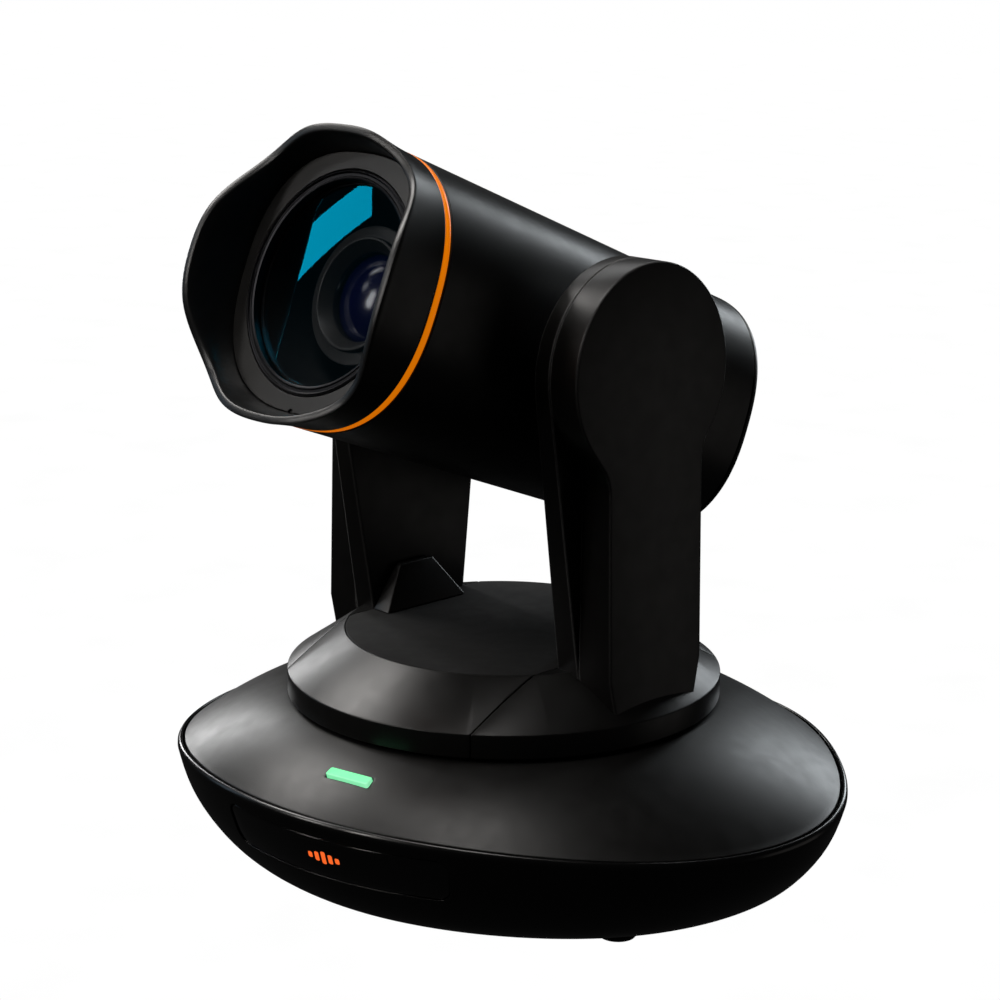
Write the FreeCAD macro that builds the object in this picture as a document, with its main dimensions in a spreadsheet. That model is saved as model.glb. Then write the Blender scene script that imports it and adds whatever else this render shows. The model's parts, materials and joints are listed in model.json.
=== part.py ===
import FreeCAD, Part
import math
import os
import re

# Pan-tilt-zoom camera. Millimetres, +Z up, -Y towards the front of the base.
# The origin is the mouth of the tripod socket, on the pan axis. Heights are drawn from the floor and
# lowered at the end. The turret is drawn facing -Y and then turned about Z; the head is drawn level,
# with its tilt axis along X through the origin, and then tilted and lifted.

os.makedirs("parts", exist_ok=True)
doc = FreeCAD.newDocument("ptz_camera")
V = FreeCAD.Vector

DIMENSIONS = {
    # base: half outline of the seam between the lower and upper housings
    "baseFront": 98.1, "shoulderX": 71.7, "shoulderY": 75.0, "flankX": 101.7, "flankY": 45.5,
    "baseHalfWidth": 116.6, "widestY": 9.8, "hipX": 98.9, "hipY": 52.9, "heelX": 63.2, "heelY": 83.5,
    "baseRear": 88.4,
    "rimZ": 39.5, "floorZ": 3.0, "beadOut": 1.6, "baseWall": 3.0, "floorInset": 22.8,
    "windowLowZ": 21.6, "windowHighZ": 35.7, "tallyY": -83.9, "tallyZ": 50.6, "tallySlope": 20.0,
    # turret
    "panRest": -11.1, "ringRadius": 72.0, "ringZ": 66.0, "ringSkirt": 7.6,
    "discRadius": 53.0, "discZ": 79.0, "seamX": 43.6, "cover": 2.1,
    # arms
    "tiltAxisZ": 173.8, "armRadius": 34.0, "armFrontY": 19.3, "armRearY": 22.8, "armSplitX": 52.5,
    "armOuterX": 66.2, "armInnerX": 43.5, "armDraft": 1.5, "armWall": 2.2, "neckAngle": 38.0,
    # head, measured forward from the tilt axis along the barrel
    "tiltRest": 21.6, "barrelDrop": 1.7, "headWidth": 43.0, "headHeight": 44.1, "tailWidth": 38.2,
    "tailHeight": 42.3, "accentAt": 74.9, "accentWidth": 2.0, "tailAt": 81.2, "tailEnd": 86.2,
    "headWall": 2.2, "hoodSides": 99.7, "hoodTop": 93.1, "hoodCorner": 90.4,
    "rimFlat": 0.7, "rimTilt": 0.5, "rimWidth": 45.3,
    "rimHeight": 46.8, "rimLip": 2.5, "lensAt": 81.1, "bezelRadius": 35.2, "glassRadius": 31.6,
    # fittings
    "tripodRadius": 3.175, "bracketRadius": 2.0, "bracketX": 70.0, "bracketY": 60.0,
    "footRadius": 7.0, "panelY": 75.5, "gap": 0.15,
}

sheet = doc.addObject("Spreadsheet::Sheet", "Dims")
for row, (alias, number) in enumerate(DIMENSIONS.items(), start=1):
    sheet.set("A%d" % row, alias)
    sheet.set("B%d" % row, str(number))
    sheet.setAlias("B%d" % row, alias)
doc.recompute()


def dim(alias):
    return float(sheet.get(alias))


def bind(obj, **formulas):
    """Drive properties from the sheet; words in a formula that name a dimension are looked up in it."""
    for prop, formula in formulas.items():
        linked = re.sub(r"[A-Za-z]\w*", lambda word: "Dims." + word[0] if word[0] in DIMENSIONS else word[0],
                        str(formula))
        obj.setExpression(prop.replace("__", "."), linked)
    return obj


# ---------------------------------------------------------------- frames and finished pieces

BASE = FreeCAD.Placement(V(0, 0, -dim("floorZ")), FreeCAD.Rotation())
TURRET = FreeCAD.Placement(V(0, 0, -dim("floorZ")), FreeCAD.Rotation(V(0, 0, 1), dim("panRest")))
LIFT = FreeCAD.Placement(V(0, 0, dim("tiltAxisZ")), FreeCAD.Rotation(V(1, 0, 0), -dim("tiltRest")))
HEAD = TURRET.multiply(LIFT)
pieces = []


def piece(part, label, frame=BASE):
    """Name a finished sub-part and put it where it sits at rest."""
    part.Label = label
    if frame:
        part.Placement = frame
    pieces.append(part)


# ---------------------------------------------------------------- primitives and booleans

UP = FreeCAD.Rotation()
ALONG_X = FreeCAD.Rotation(V(0, 1, 0), 90)
FORWARD = FreeCAD.Rotation(V(1, 0, 0), 90)
REARWARD = FreeCAD.Rotation(V(1, 0, 0), -90)


def place(obj, at, turn=UP):
    obj.Placement = FreeCAD.Placement(V(0, 0, 0), turn)
    bind(obj, Placement__Base__x=at[0], Placement__Base__y=at[1], Placement__Base__z=at[2])
    return obj


def cylinder(radius, height, at=(0, 0, 0), turn=UP):
    obj = doc.addObject("Part::Cylinder", "cylinder")
    return place(bind(obj, Radius=radius, Height=height), at, turn)


def cone(low_radius, high_radius, height, at):
    obj = doc.addObject("Part::Cone", "cone")
    return place(bind(obj, Radius1=low_radius, Radius2=high_radius, Height=height), at)


def box(length, width, height, at):
    """Box given by its sides along X, Y, Z and the middle of its lower face."""
    obj = doc.addObject("Part::Box", "box")
    corner = ("%s - (%s) / 2" % (at[0], length), "%s - (%s) / 2" % (at[1], width), at[2])
    return place(bind(obj, Length=length, Width=width, Height=height), corner)


def fuse(*shapes):
    obj = doc.addObject("Part::MultiFuse", "fuse")
    obj.Shapes = list(shapes)
    return obj


def cut(base, *tools):
    for tool in tools:
        obj = doc.addObject("Part::Cut", "cut")
        obj.Base = base
        obj.Tool = tool
        base = obj
    return base


def common(first, second):
    obj = doc.addObject("Part::MultiCommon", "common")
    obj.Shapes = [first, second]
    return obj


def mirrored(source, frame=FreeCAD.Placement()):
    """The same solid on the other side of the frame's YZ plane; a placed source stays placed."""
    obj = doc.addObject("Part::Mirroring", "mirror")
    obj.Source = source
    obj.Base = frame.Base
    obj.Normal = frame.Rotation.multVec(V(1, 0, 0))
    return obj


def tube(outer, inner, height, at=(0, 0, 0), turn=UP):
    return cut(cylinder(outer, height, at, turn), cylinder(inner, height, at, turn))


def lying_tube(outer, inner, front, length):
    """Ring round the barrel axis, its front face at a distance ahead of the tilt axis."""
    return tube(outer, inner, length, (0, "%s - (%s)" % (length, front), "-barrelDrop"), FORWARD)


def lying_rod(radius, front, length):
    return cylinder(radius, length, (0, "%s - (%s)" % (length, front), "-barrelDrop"), FORWARD)


# ---------------------------------------------------------------- sketches and bodies

def new_body(name):
    return doc.addObject("PartDesign::Body", name)


def sketch_on(body, plane, height, curves):
    """Closed outline on one of the body's origin planes, raised along its normal."""
    sketch = body.newObject("Sketcher::SketchObject", "outline")
    origin_plane = [f for f in body.Origin.OriginFeatures if f.Role == plane + "_Plane"][0]
    sketch.AttachmentSupport = (origin_plane, [""])
    sketch.MapMode = "FlatFace"
    bind(sketch, AttachmentOffset__Base__z=height)
    for curve in curves:
        sketch.addGeometry(curve, False)
    return sketch


def smooth_loop(points):
    curve = Part.BSplineCurve()
    curve.interpolate(Points=[V(x, y, 0) for x, y in points], PeriodicFlag=True)
    return [curve]


def rounded_loop(corners):
    """Polygon (x, y, fillet radius) turned into lines and tangent arcs."""
    starts, ends, arcs = [], [], []
    count = len(corners)
    for i, (x, y, radius) in enumerate(corners):
        here = V(x, y, 0)
        back = (V(corners[i - 1][0], corners[i - 1][1], 0) - here).normalize()
        ahead = (V(corners[(i + 1) % count][0], corners[(i + 1) % count][1], 0) - here).normalize()
        if radius == 0:
            starts.append(here)
            ends.append(here)
            continue
        half = back.getAngle(ahead) / 2
        first = here + back * (radius / math.tan(half))
        last = here + ahead * (radius / math.tan(half))
        to_middle = (back + ahead).normalize()
        middle = here + to_middle * (radius / math.sin(half) - radius)
        arcs.append(Part.Arc(first, middle, last))
        starts.append(first)
        ends.append(last)
    lines = []
    for i in range(count):
        tail, tip = ends[i], starts[(i + 1) % count]
        if tail.distanceToPoint(tip) > 1e-4:
            lines.append(Part.LineSegment(tail, tip))
    return lines + arcs


def polygon(points):
    return rounded_loop([(x, y, 0) for x, y in points])


def pad(body, sketch, length):
    feature = body.newObject("PartDesign::Pad", "pad")
    feature.Profile = sketch
    bind(feature, Length=length)
    return body


def pocket(body, sketch, length, along_normal=False):
    feature = body.newObject("PartDesign::Pocket", "pocket")
    feature.Profile = sketch
    feature.Reversed = along_normal
    bind(feature, Length=length)
    return body


def loft(body, kind, sketches, ruled=False):
    feature = body.newObject("PartDesign::" + kind + "Loft", "loft")
    feature.Profile = sketches[0]
    feature.Sections = sketches[1:]
    feature.Ruled = ruled
    return body


def revolved(name, points):
    """Solid of revolution about Z from (radius, height) points."""
    body = new_body(name)
    sketch = sketch_on(body, "XZ", 0, polygon(points))
    feature = body.newObject("PartDesign::Revolution", "turn")
    feature.Profile = sketch
    feature.ReferenceAxis = (sketch, ["V_Axis"])
    feature.Angle = 360
    return body


def gear(name, plane, teeth, module, phase, height, thickness, bore):
    """Spur gear with straight-sided teeth; phase is the direction of one tooth in degrees."""
    pitch = teeth * module / 2
    profile = [(-0.31, -1.25), (-0.13, 0.9), (0.13, 0.9), (0.31, -1.25)]
    points = []
    for tooth in range(teeth):
        for across, out in profile:
            angle = math.radians(phase + (tooth + across) * 360 / teeth)
            radius = pitch + out * module
            points.append((radius * math.cos(angle), radius * math.sin(angle)))
    body = new_body(name)
    pad(body, sketch_on(body, plane, height, polygon(points)), thickness)
    if bore:
        hole = Part.Circle(V(0, 0, 0), V(0, 0, 1), bore)
        pocket(body, sketch_on(body, plane, height, [hole]), thickness, along_normal=True)
    return body


# ---------------------------------------------------------------- base housings

def seam_points():
    """The base outline at the seam, one point for each turn it takes, starting at the widest point."""
    rear_half = [(dim("baseHalfWidth"), dim("widestY")), (dim("hipX"), dim("hipY")),
                 (dim("heelX"), dim("heelY"))]
    front_half = [(dim("shoulderX"), -dim("shoulderY")), (dim("flankX"), -dim("flankY"))]
    return (rear_half + [(0, dim("baseRear"))] + [(-x, y) for x, y in reversed(rear_half)]
            + [(-x, y) for x, y in reversed(front_half)] + [(0, -dim("baseFront"))] + front_half)


def seam_offset(out):
    loop = []
    for x, y in seam_points():
        reach = math.hypot(x, y)
        loop.append((x * (1 + out / reach), y * (1 + out / reach)))
    return smooth_loop(loop)


def seam_to_circle(share, radius, out):
    """Outline part of the way from the seam (0) to a circle (1)."""
    loop = []
    for x, y in seam_points():
        reach = math.hypot(x, y)
        wanted = (reach + out) * (1 - share) + radius * share
        loop.append((x * wanted / reach, y * wanted / reach))
    return smooth_loop(loop)


def dish_solid(name, inset):
    """Lower housing's outer form, shrunk by an inset."""
    inset_floor = dim("floorInset")
    levels = [("floorZ", -inset_floor), ("floorZ + 5", -0.62 * inset_floor),
              ("floorZ + 13", -0.32 * inset_floor), ("floorZ + 23", -0.09 * inset_floor),
              ("rimZ - 2.5", dim("beadOut")), ("rimZ - 0.2", 1.0)]
    body = new_body(name)
    sections = [sketch_on(body, "XY", height, seam_offset(out - inset)) for height, out in levels]
    return loft(body, "Additive", sections)


def hollow_dish():
    wall = dim("baseWall")
    inset_floor = dim("floorInset")
    body = dish_solid("dish_blank", 0)
    levels = [("floorZ + 2.4", -inset_floor - 1), ("floorZ + 7", -0.62 * inset_floor - wall),
              ("floorZ + 14", -0.32 * inset_floor - wall), ("floorZ + 23", -0.09 * inset_floor - wall),
              ("rimZ - 3", -1.8), ("rimZ + 1", -1.8)]
    sections = [sketch_on(body, "XY", height, seam_offset(out)) for height, out in levels]
    return loft(body, "Subtractive", sections)


def window_prism(name, growth):
    """Front window's outline carried along Y."""
    top, low = 42.3 + growth, 39.8 + growth
    high_z, low_z = dim("windowHighZ") + growth, dim("windowLowZ") - growth
    corners = [(-low, low_z, 5), (low, low_z, 5), (top, high_z, 3.5), (-top, high_z, 3.5)]
    body = new_body(name)
    return pad(body, sketch_on(body, "XZ", 60, rounded_loop(corners)), 50)


def make_dish():
    pocket_tool = cut(window_prism("window_pocket", 0.2), dish_solid("pocket_floor", 2.2))
    view_hole = box(64, 40, 9, (0, -88, "windowLowZ + 2.5"))
    rear_opening = box(93, 40, "rimZ - 14.7", (0, "panelY + 15", 11.8))
    tripod = cylinder(9.2, 5, (0, 0, "floorZ - 1"))
    holes = [cylinder(5.2, 5, (sx * dim("bracketX") / 2, sy * dim("bracketY") / 2, "floorZ - 1"))
             for sx in (-1, 1) for sy in (-1, 1)]
    feet = [cylinder("footRadius + 0.05", 6.2, (x, y, 0)) for x, y in FOOT_SPOTS]
    heads = [cylinder(2.9, 2, (x, y, "floorZ - 0.6")) for x, y in SCREW_SPOTS]
    shanks = [cylinder(1.7, 5, (x, y, "floorZ")) for x, y in SCREW_SPOTS]
    shell = cut(hollow_dish(), pocket_tool, view_hole, rear_opening, tripod, *holes, *feet, *heads, *shanks)
    piece(shell, "dish_shell")


def make_window():
    slab = common(window_prism("window_outline", 0), dish_solid("window_front", 0.4))
    piece(cut(slab, dish_solid("window_back", 2.0)), "display_window")
    board = fuse(box(60, 1.6, 10, (0, -82.2, "windowLowZ + 2")),
                 box(54, 1.4, 7, (0, -83.7, "windowLowZ + 3.5")))
    piece(board, "display_module")


COVER_LEVELS = [(0, 0.0), (0.1, 0.23), (0.4, 0.555), (0.75, 0.77), (1, 1.0)]


def cover_blank():
    """Upper housing, blending from the seam outline to a circle under the ring."""
    body = new_body("cover_blank")
    rise = dim("ringZ") - dim("ringSkirt") - 1.2 - dim("rimZ")
    edge = dim("ringRadius") - 1
    outside = [sketch_on(body, "XY", "rimZ + %g" % (rise * up), seam_to_circle(share, edge, -0.3))
               for share, up in COVER_LEVELS]
    loft(body, "Additive", outside)
    wall = dim("baseWall") - 0.4
    inside = [sketch_on(body, "XY", "rimZ - %g" % (wall - rise * up), seam_to_circle(share, edge - wall, -2.2))
              for share, up in COVER_LEVELS]
    return loft(body, "Subtractive", inside)


def tally_block(growth):
    block = doc.addObject("Part::Box", "tally")
    bind(block, Length=16 + growth, Width=3.5 + growth, Height=12)
    turn = FreeCAD.Rotation(V(1, 0, 0), dim("tallySlope"))
    middle = V(0, dim("tallyY"), dim("tallyZ"))
    corner = V(-8 - growth / 2, -1.75 - growth / 2, -6)
    block.Placement = FreeCAD.Placement(middle + turn.multVec(corner), turn)
    return block


def make_cover():
    blank = cover_blank()
    hub_hole = cylinder(18, 40, (0, 0, "rimZ"))
    piece(cut(blank, hub_hole, tally_block(0.2)), "top_cover")
    piece(common(blank, tally_block(0)), "tally_light")


# ---------------------------------------------------------------- base fittings

FOOT_SPOTS = [(-69, -37), (69, -37), (-58, 52), (58, 52)]
SCREW_SPOTS = [(-52, -36), (52, -36), (-52, 36), (52, 36), (0, 38), (0, -38)]
PAN_TEETH, PAN_PINION_TEETH, PAN_MODULE = 72, 16, 1.0
PAN_CENTRES = (PAN_TEETH + PAN_PINION_TEETH) * PAN_MODULE / 2


def make_feet():
    feet = []
    for x, y in FOOT_SPOTS:
        stem = cylinder("footRadius", 4.4, (x, y, 1.6))
        feet.append(fuse(stem, cone("footRadius - 1.2", "footRadius", 1.6, (x, y, 0))))
    piece(fuse(*feet), "rubber_feet")


def make_base_plate():
    """Steel plate with the tripod boss and four bracket bosses reaching through the floor."""
    plate = new_body("plate")
    corners = [(-60, -45, 12), (60, -45, 12), (60, 45, 12), (-60, 45, 12)]
    pad(plate, sketch_on(plate, "XY", "floorZ + 2.5", rounded_loop(corners)), 3)
    bosses = [cylinder(9, 12, (0, 0, "floorZ"))]
    holes = [cylinder("tripodRadius", 9, (0, 0, "floorZ"))]
    for sx in (-1, 1):
        for sy in (-1, 1):
            spot = ("%d * bracketX / 2" % sx, "%d * bracketY / 2" % sy, "floorZ")
            bosses.append(cylinder(5, 9, spot))
            holes.append(cylinder("bracketRadius", 7, spot))
    holes += [cylinder(1.7, 5, (x, y, "floorZ + 2")) for x, y in SCREW_SPOTS]
    piece(cut(fuse(plate, *bosses), *holes), "base_plate")


def make_base_screws():
    screws = []
    for x, y in SCREW_SPOTS:
        head = cut(cylinder(2.7, 1.2, (x, y, "floorZ + 0.2")), box(3.6, 0.7, 0.7, (x, y, "floorZ - 0.1")))
        screws.append(fuse(head, cylinder(1.5, 5.2, (x, y, "floorZ + 1.3"))))
    piece(fuse(*screws), "base_screws")


def make_pan_drive():
    flange = cylinder(36, 3, (0, 0, "floorZ + 5.6"))
    tower = cylinder(25, 33, (0, 0, "floorZ + 5.6"))
    bore = cylinder(22, 40, (0, 0, "floorZ + 5"))
    boss_room = [cylinder(5.4, 6, (sx * dim("bracketX") / 2, sy * dim("bracketY") / 2, "floorZ + 5"))
                 for sx in (-1, 1) for sy in (-1, 1)]
    screw_room = [cylinder(2.2, 6, (x, y, "floorZ + 5")) for x, y in SCREW_SPOTS]
    piece(cut(fuse(flange, tower), bore, *boss_room, *screw_room), "bearing_housing")
    piece(tube(21.97, 16.03, 9, (0, 0, "floorZ + 28")), "pan_bearing")
    stator = cut(cylinder(8, 12, (0, 0, "floorZ + 12.6")), cylinder(3, 8, (0, 0, "floorZ + 18")))
    piece(fuse(stator, cylinder(20, 1.5, (0, 0, "floorZ + 12.3"))), "slip_ring")
    can = fuse(box(35, 34, 24, (0, -PAN_CENTRES, 15)), cylinder(9, 1.5, (0, -PAN_CENTRES, 39)))
    rotor_room = cylinder(13, 21, (0, -PAN_CENTRES, 16.5))
    piece(cut(can, rotor_room, cylinder(2.6, 6, (0, -PAN_CENTRES, 36))), "pan_motor")
    shaft = cylinder(2.5, 12.5, (0, -PAN_CENTRES, 36.5))
    piece(fuse(cylinder(12.6, 20, (0, -PAN_CENTRES, 17)), shaft), "pan_rotor")
    teeth = gear("pinion_teeth", "XY", PAN_PINION_TEETH, PAN_MODULE, 90 + 180 / PAN_PINION_TEETH, 43, 5.5, 0)
    teeth.Placement = FreeCAD.Placement(V(0, -PAN_CENTRES, 0), UP)
    piece(cut(teeth, cylinder(2.52, 10, (0, -PAN_CENTRES, 41))), "pan_pinion")


def on_panel(radius, reach, x, z, start=-8):
    """Round thing standing on the rear panel and pointing rearward."""
    return cylinder(radius, reach - start, (x, "panelY + %g" % start, z), REARWARD)


def make_rear_panel():
    panel = box(92, 2.4, "rimZ - 15", (0, "panelY + 1.2", 12))
    holes = [on_panel(6.2, 6, x, 25, -2) for x in (-38, -23)]
    holes += [on_panel(4.9, 6, x, 27, -2) for x in (27, 38.5)]
    holes += [on_panel(3.2, 6, 27, 16.8, -2), on_panel(4.4, 6, 38.5, 16.8, -2)]
    holes += [on_panel(4.1, 6, -6, 17, -2), on_panel(2.1, 6, 11, 15.6, -2)]
    holes += [box(15.4, 12, 6.4, (-6, "panelY + 1", 24.8)), box(16.4, 12, 13.2, (11, "panelY + 1", 19.2))]
    piece(cut(panel, *holes), "rear_panel")


def make_connectors():
    shells = []
    for x in (-38, -23):
        barrel = cut(on_panel(4.8, 8.5, x, 25), on_panel(4.0, 9, x, 25, 1))
        shells += [barrel, cut(on_panel(6, 2.2, x, 25, -1), on_panel(4.5, 3, x, 25, -2)),
                   on_panel(1, 6, x, 25, 0)]
    piece(fuse(*shells), "sdi_connectors")
    hdmi = cut(box(15, 12, 6, (-6, "panelY - 3", 25)), box(13.6, 8, 4.4, (-6, "panelY + 0.5", 25.8)))
    piece(fuse(hdmi, box(11, 7, 1.2, (-6, "panelY - 1", 27.4))), "hdmi_connector")
    jack = cut(box(16, 18, 12.8, (11, "panelY - 5.6", 19.4)), box(12, 12, 8, (11, "panelY - 1", 21.4)),
               box(6, 12, 3, (11, "panelY - 1", 29)))
    piece(jack, "ethernet_connector")
    jacks = [cut(on_panel(4.7, 3, x, 27), on_panel(3.9, 4, x, 27, -5)) for x in (27, 38.5)]
    jacks.append(cut(on_panel(3, 3.4, 27, 16.8), on_panel(1.75, 4, 27, 16.8, -6)))
    piece(fuse(*jacks), "control_jacks")
    inlet = cut(on_panel(4.2, 3, 38.5, 16.8), on_panel(3, 4, 38.5, 16.8, -5))
    piece(fuse(inlet, on_panel(0.9, 1, 38.5, 16.8, -6)), "dc_inlet")
    knob = cut(on_panel(3.9, 4, -6, 17, -4), box(1, 2, 6, (-6, "panelY + 4.2", 14)))
    piece(knob, "mode_selector")
    cap = cut(on_panel(1.9, 3.6, 11, 15.6, -3), on_panel(1.2, 4, 11, 15.6, 3.3))
    piece(cap, "reset_button")


def make_main_board():
    board = box(100, 32, 1.6, (0, 54, 9.6))
    chips = [box(16, 16, 1.8, (-20, 52, 11.2)), box(12, 12, 1.6, (8, 50, 11.2)),
             box(9, 14, 1.4, (32, 54, 11.2))]
    piece(fuse(board, *chips), "main_board")


# ---------------------------------------------------------------- turret

TILT_TEETH, TILT_PINION_TEETH, TILT_MODULE = 72, 14, 0.7
TILT_CENTRES = (TILT_TEETH + TILT_PINION_TEETH) * TILT_MODULE / 2


def make_turntable():
    spindle = cylinder(16, 34, (0, 0, 28.5))
    plate = cylinder(50, 3, (0, 0, 60.5))
    piece(cut(fuse(spindle, plate), cylinder(9, 40, (0, 0, 26))), "turntable", TURRET)
    wheel = gear("pan_teeth", "XY", PAN_TEETH, PAN_MODULE, -90 - dim("panRest"), 43, 5, 16.02)
    piece(wheel, "pan_gear", TURRET)
    board = box(52, 36, 1.6, (0, 0, 67))
    pillars = [cylinder(2, 3.4, (x, y, 63.6)) for x in (-22, 22) for y in (-14, 14)]
    chips = [box(12, 12, 1.6, (8, 0, 68.6)), box(8, 10, 3, (-12, 2, 68.6))]
    piece(fuse(board, *pillars, *chips), "motor_board", TURRET)


def ring_blank(name, inner_radius):
    """Skirt, sloping shoulder and, where the inner radius is small, part of the top."""
    skirt_z = dim("ringZ") - dim("ringSkirt")
    r, z, top, edge, t = dim("ringRadius"), dim("ringZ"), dim("discZ"), dim("discRadius") + 0.2, dim("cover")
    points = [(r, skirt_z), (r, z - 0.5), (r - 0.4, z), (edge, top), (inner_radius, top),
              (inner_radius, top - t), (edge - 0.5, top - t), (r - t, z - 1.2), (r - t, skirt_z)]
    return revolved(name, points)


def make_ring():
    seam = dim("seamX") - 0.15
    thin = dim("discRadius") - 0.1
    strip = 2 * seam
    front = common(ring_blank("front_blank", thin + 0.25), box(strip, 100, 60, (0, -50.1, 40)))
    rear = common(ring_blank("rear_blank", thin + 0.25), box(strip, 100, 60, (0, 50.1, 40)))
    piece(front, "ring_front", TURRET)
    piece(rear, "ring_rear", TURRET)
    side = common(ring_blank("side_blank", 40), box(60, 160, 60, (seam + 30.3, 0, 40)))
    frame_slot = box(3, 29, 60, (50.5, 0, 40))
    right = cut(side, frame_slot)
    piece(right, "ring_side_right", TURRET)
    piece(mirrored(right, TURRET), "ring_side_left", None)
    plate = common(cylinder("discRadius", "cover", (0, 0, "discZ - cover")), box(strip, 120, 60, (0, 0, 40)))
    posts = [cylinder(2.5, 13.5, (x, y, 63.6)) for x in (-31, 31) for y in (-24, 24)]
    piece(fuse(plate, *posts), "disc_cover", TURRET)


def arm_loop(inset, lean_front, lean_rear, foot, neck_fillet):
    """Arm outline in (Y, Z): round top of the arm, then a stem, straight down from a neck or leaning."""
    radius = dim("armRadius") - inset
    axis_z = dim("tiltAxisZ")
    front, rear = dim("armFrontY") - inset, dim("armRearY") - inset
    corners = []
    for side, half_width, lean in ((-1, front, lean_front), (1, rear, lean_rear)):
        angle = math.radians(lean)
        run = [(side * radius, axis_z - radius * math.tan(angle / 2), radius)]
        if neck_fillet:
            neck_z = axis_z + (half_width * math.cos(angle) - radius) / math.sin(angle)
            run.append((side * half_width, neck_z, neck_fillet))
            run.append((side * half_width, dim("discZ") + 0.5, 0))
            run.append((side * (half_width - 3.5), foot, 0))
        else:
            reach = radius / math.cos(angle) - (axis_z - foot) * math.tan(angle)
            run.append((side * reach, foot, 0))
        corners.append(run)
    top = [(radius, axis_z + radius, radius), (-radius, axis_z + radius, radius)]
    return rounded_loop(list(reversed(corners[1])) + top + corners[0])


def arm_lean(half_width):
    """Angle of the line from the stem's foot that just touches the round top."""
    drop = dim("tiltAxisZ") - dim("discZ")
    return math.degrees(math.asin(dim("armRadius") / math.hypot(drop, half_width))
                        - math.atan2(half_width, drop))


def slanted_block(face_x, angle, outward):
    """Big block whose inner face is a drafted arm face."""
    block = doc.addObject("Part::Box", "draft")
    bind(block, Length=30, Width=120, Height=260)
    turn = FreeCAD.Rotation(V(0, 1, 0), angle)
    foot = V(face_x - dim("discZ") * math.tan(math.radians(angle)), -60, 0)
    shift = V(0, 0, 0) if outward else V(-30, 0, 0)
    block.Placement = FreeCAD.Placement(foot + turn.multVec(shift), turn)
    return block


def below_arm():
    """Everything the arm stands on, with a hair of clearance."""
    shoulder = cone("ringRadius + gap", "discRadius + gap", "discZ - ringZ", (0, 0, "ringZ + gap"))
    return fuse(shoulder, cylinder(100, "ringZ + gap", (0, 0, 0)))


def make_arm_covers():
    wall = dim("armWall")
    outer = new_body("arm_outer_blank")
    neck = dim("neckAngle")
    pad(outer, sketch_on(outer, "YZ", "armSplitX", arm_loop(0, neck, neck, 64, 14)), 14)
    hollow = sketch_on(outer, "YZ", "armSplitX", arm_loop(wall, neck, neck, 60, 14))
    pocket(outer, hollow, 8, along_normal=True)
    right = cut(outer, slanted_block(dim("armOuterX"), -dim("armDraft"), True), below_arm())
    piece(right, "arm_outer_right", TURRET)
    piece(mirrored(right, TURRET), "arm_outer_left", None)

    inner = new_body("arm_inner_blank")
    front, rear = arm_lean(dim("armFrontY")), arm_lean(dim("armRearY"))
    pad(inner, sketch_on(inner, "YZ", 42, arm_loop(0, front, rear, 70, 0)), "armSplitX - 42.1")
    hollow = sketch_on(inner, "YZ", "armSplitX - 0.1", arm_loop(wall, front, rear, 60, 0))
    pocket(inner, hollow, 3.2)
    trunnion_hole = cylinder(14.4, 20, (38, 0, "tiltAxisZ"), ALONG_X)
    right = cut(inner, slanted_block(dim("armInnerX"), dim("armDraft"), False), below_arm(), trunnion_hole)
    piece(right, "arm_inner_right", TURRET)
    piece(mirrored(right, TURRET), "arm_inner_left", None)


def cable_cover(reach):
    """Bevelled wedge against the left arm over the cable passage, reaching a length ahead of the pan axis."""
    wedge = doc.addObject("Part::Wedge", "wedge")
    bind(wedge, Xmin=0, Xmax=8.3, X2min=0, X2max=2.8, Ymin=0, Ymax=14.5, Zmin=0, Zmax=reach + 16,
         Z2min=10.5, Z2max=reach + 5.5)
    place(wedge, ("0.25 - armInnerX", 16, "discZ + gap"), FORWARD)
    return cut(wedge, cylinder(1.5, 12, (0.3 - dim("armInnerX") + 3, 0, "discZ - 1")))


def make_cable_covers():
    piece(cable_cover(20), "cable_cover_left", TURRET)
    piece(mirrored(cable_cover(9)), "cable_cover_right", TURRET)


def make_yoke_frame():
    upright = box(2, 28, "tiltAxisZ - 63.6", (50.5, 0, 63.6))
    foot = box(15, 28, 2.4, (44, 0, 63.6))
    round_top = cylinder(18, 2, (49.5, 0, "tiltAxisZ"), ALONG_X)
    bearing_hole = cylinder(11.02, 8, (47, 0, "tiltAxisZ"), ALONG_X)
    windows = [box(8, 14, 22, (50.5, 0, z)) for z in (74, 102)]
    right = cut(fuse(upright, foot, round_top), bearing_hole, *windows)
    piece(right, "yoke_frame_right", TURRET)
    piece(mirrored(right, TURRET), "yoke_frame_left", None)
    bearing = tube(11, 5.99, 4.5, (49.5, 0, "tiltAxisZ"), ALONG_X)
    piece(fuse(bearing, mirrored(bearing)), "tilt_bearings", TURRET)


def make_tilt_drive():
    shaft_z = "tiltAxisZ - %g" % TILT_CENTRES
    can = fuse(cylinder(14, 4.6, (51.6, 0, shaft_z), ALONG_X), cylinder(5, 0.6, (56.2, 0, shaft_z), ALONG_X))
    rotor_room = cylinder(13.1, 3.8, (52, 0, shaft_z), ALONG_X)
    piece(cut(can, rotor_room, cylinder(2.1, 2, (55, 0, shaft_z), ALONG_X)), "tilt_motor", TURRET)
    rotor = cylinder(12.8, 3.2, (52.3, 0, shaft_z), ALONG_X)
    piece(fuse(rotor, cylinder(2, 4.75, (55.3, 0, shaft_z), ALONG_X)), "tilt_rotor", TURRET)
    teeth = gear("tilt_pinion_teeth", "YZ", TILT_PINION_TEETH, TILT_MODULE, 90 + 180 / TILT_PINION_TEETH,
                 57.5, 2.4, 0)
    teeth.Placement = FreeCAD.Placement(V(0, 0, dim("tiltAxisZ") - TILT_CENTRES), UP)
    piece(cut(teeth, cylinder(2.02, 5, (56, 0, shaft_z), ALONG_X)), "tilt_pinion", TURRET)


# ---------------------------------------------------------------- head

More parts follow.
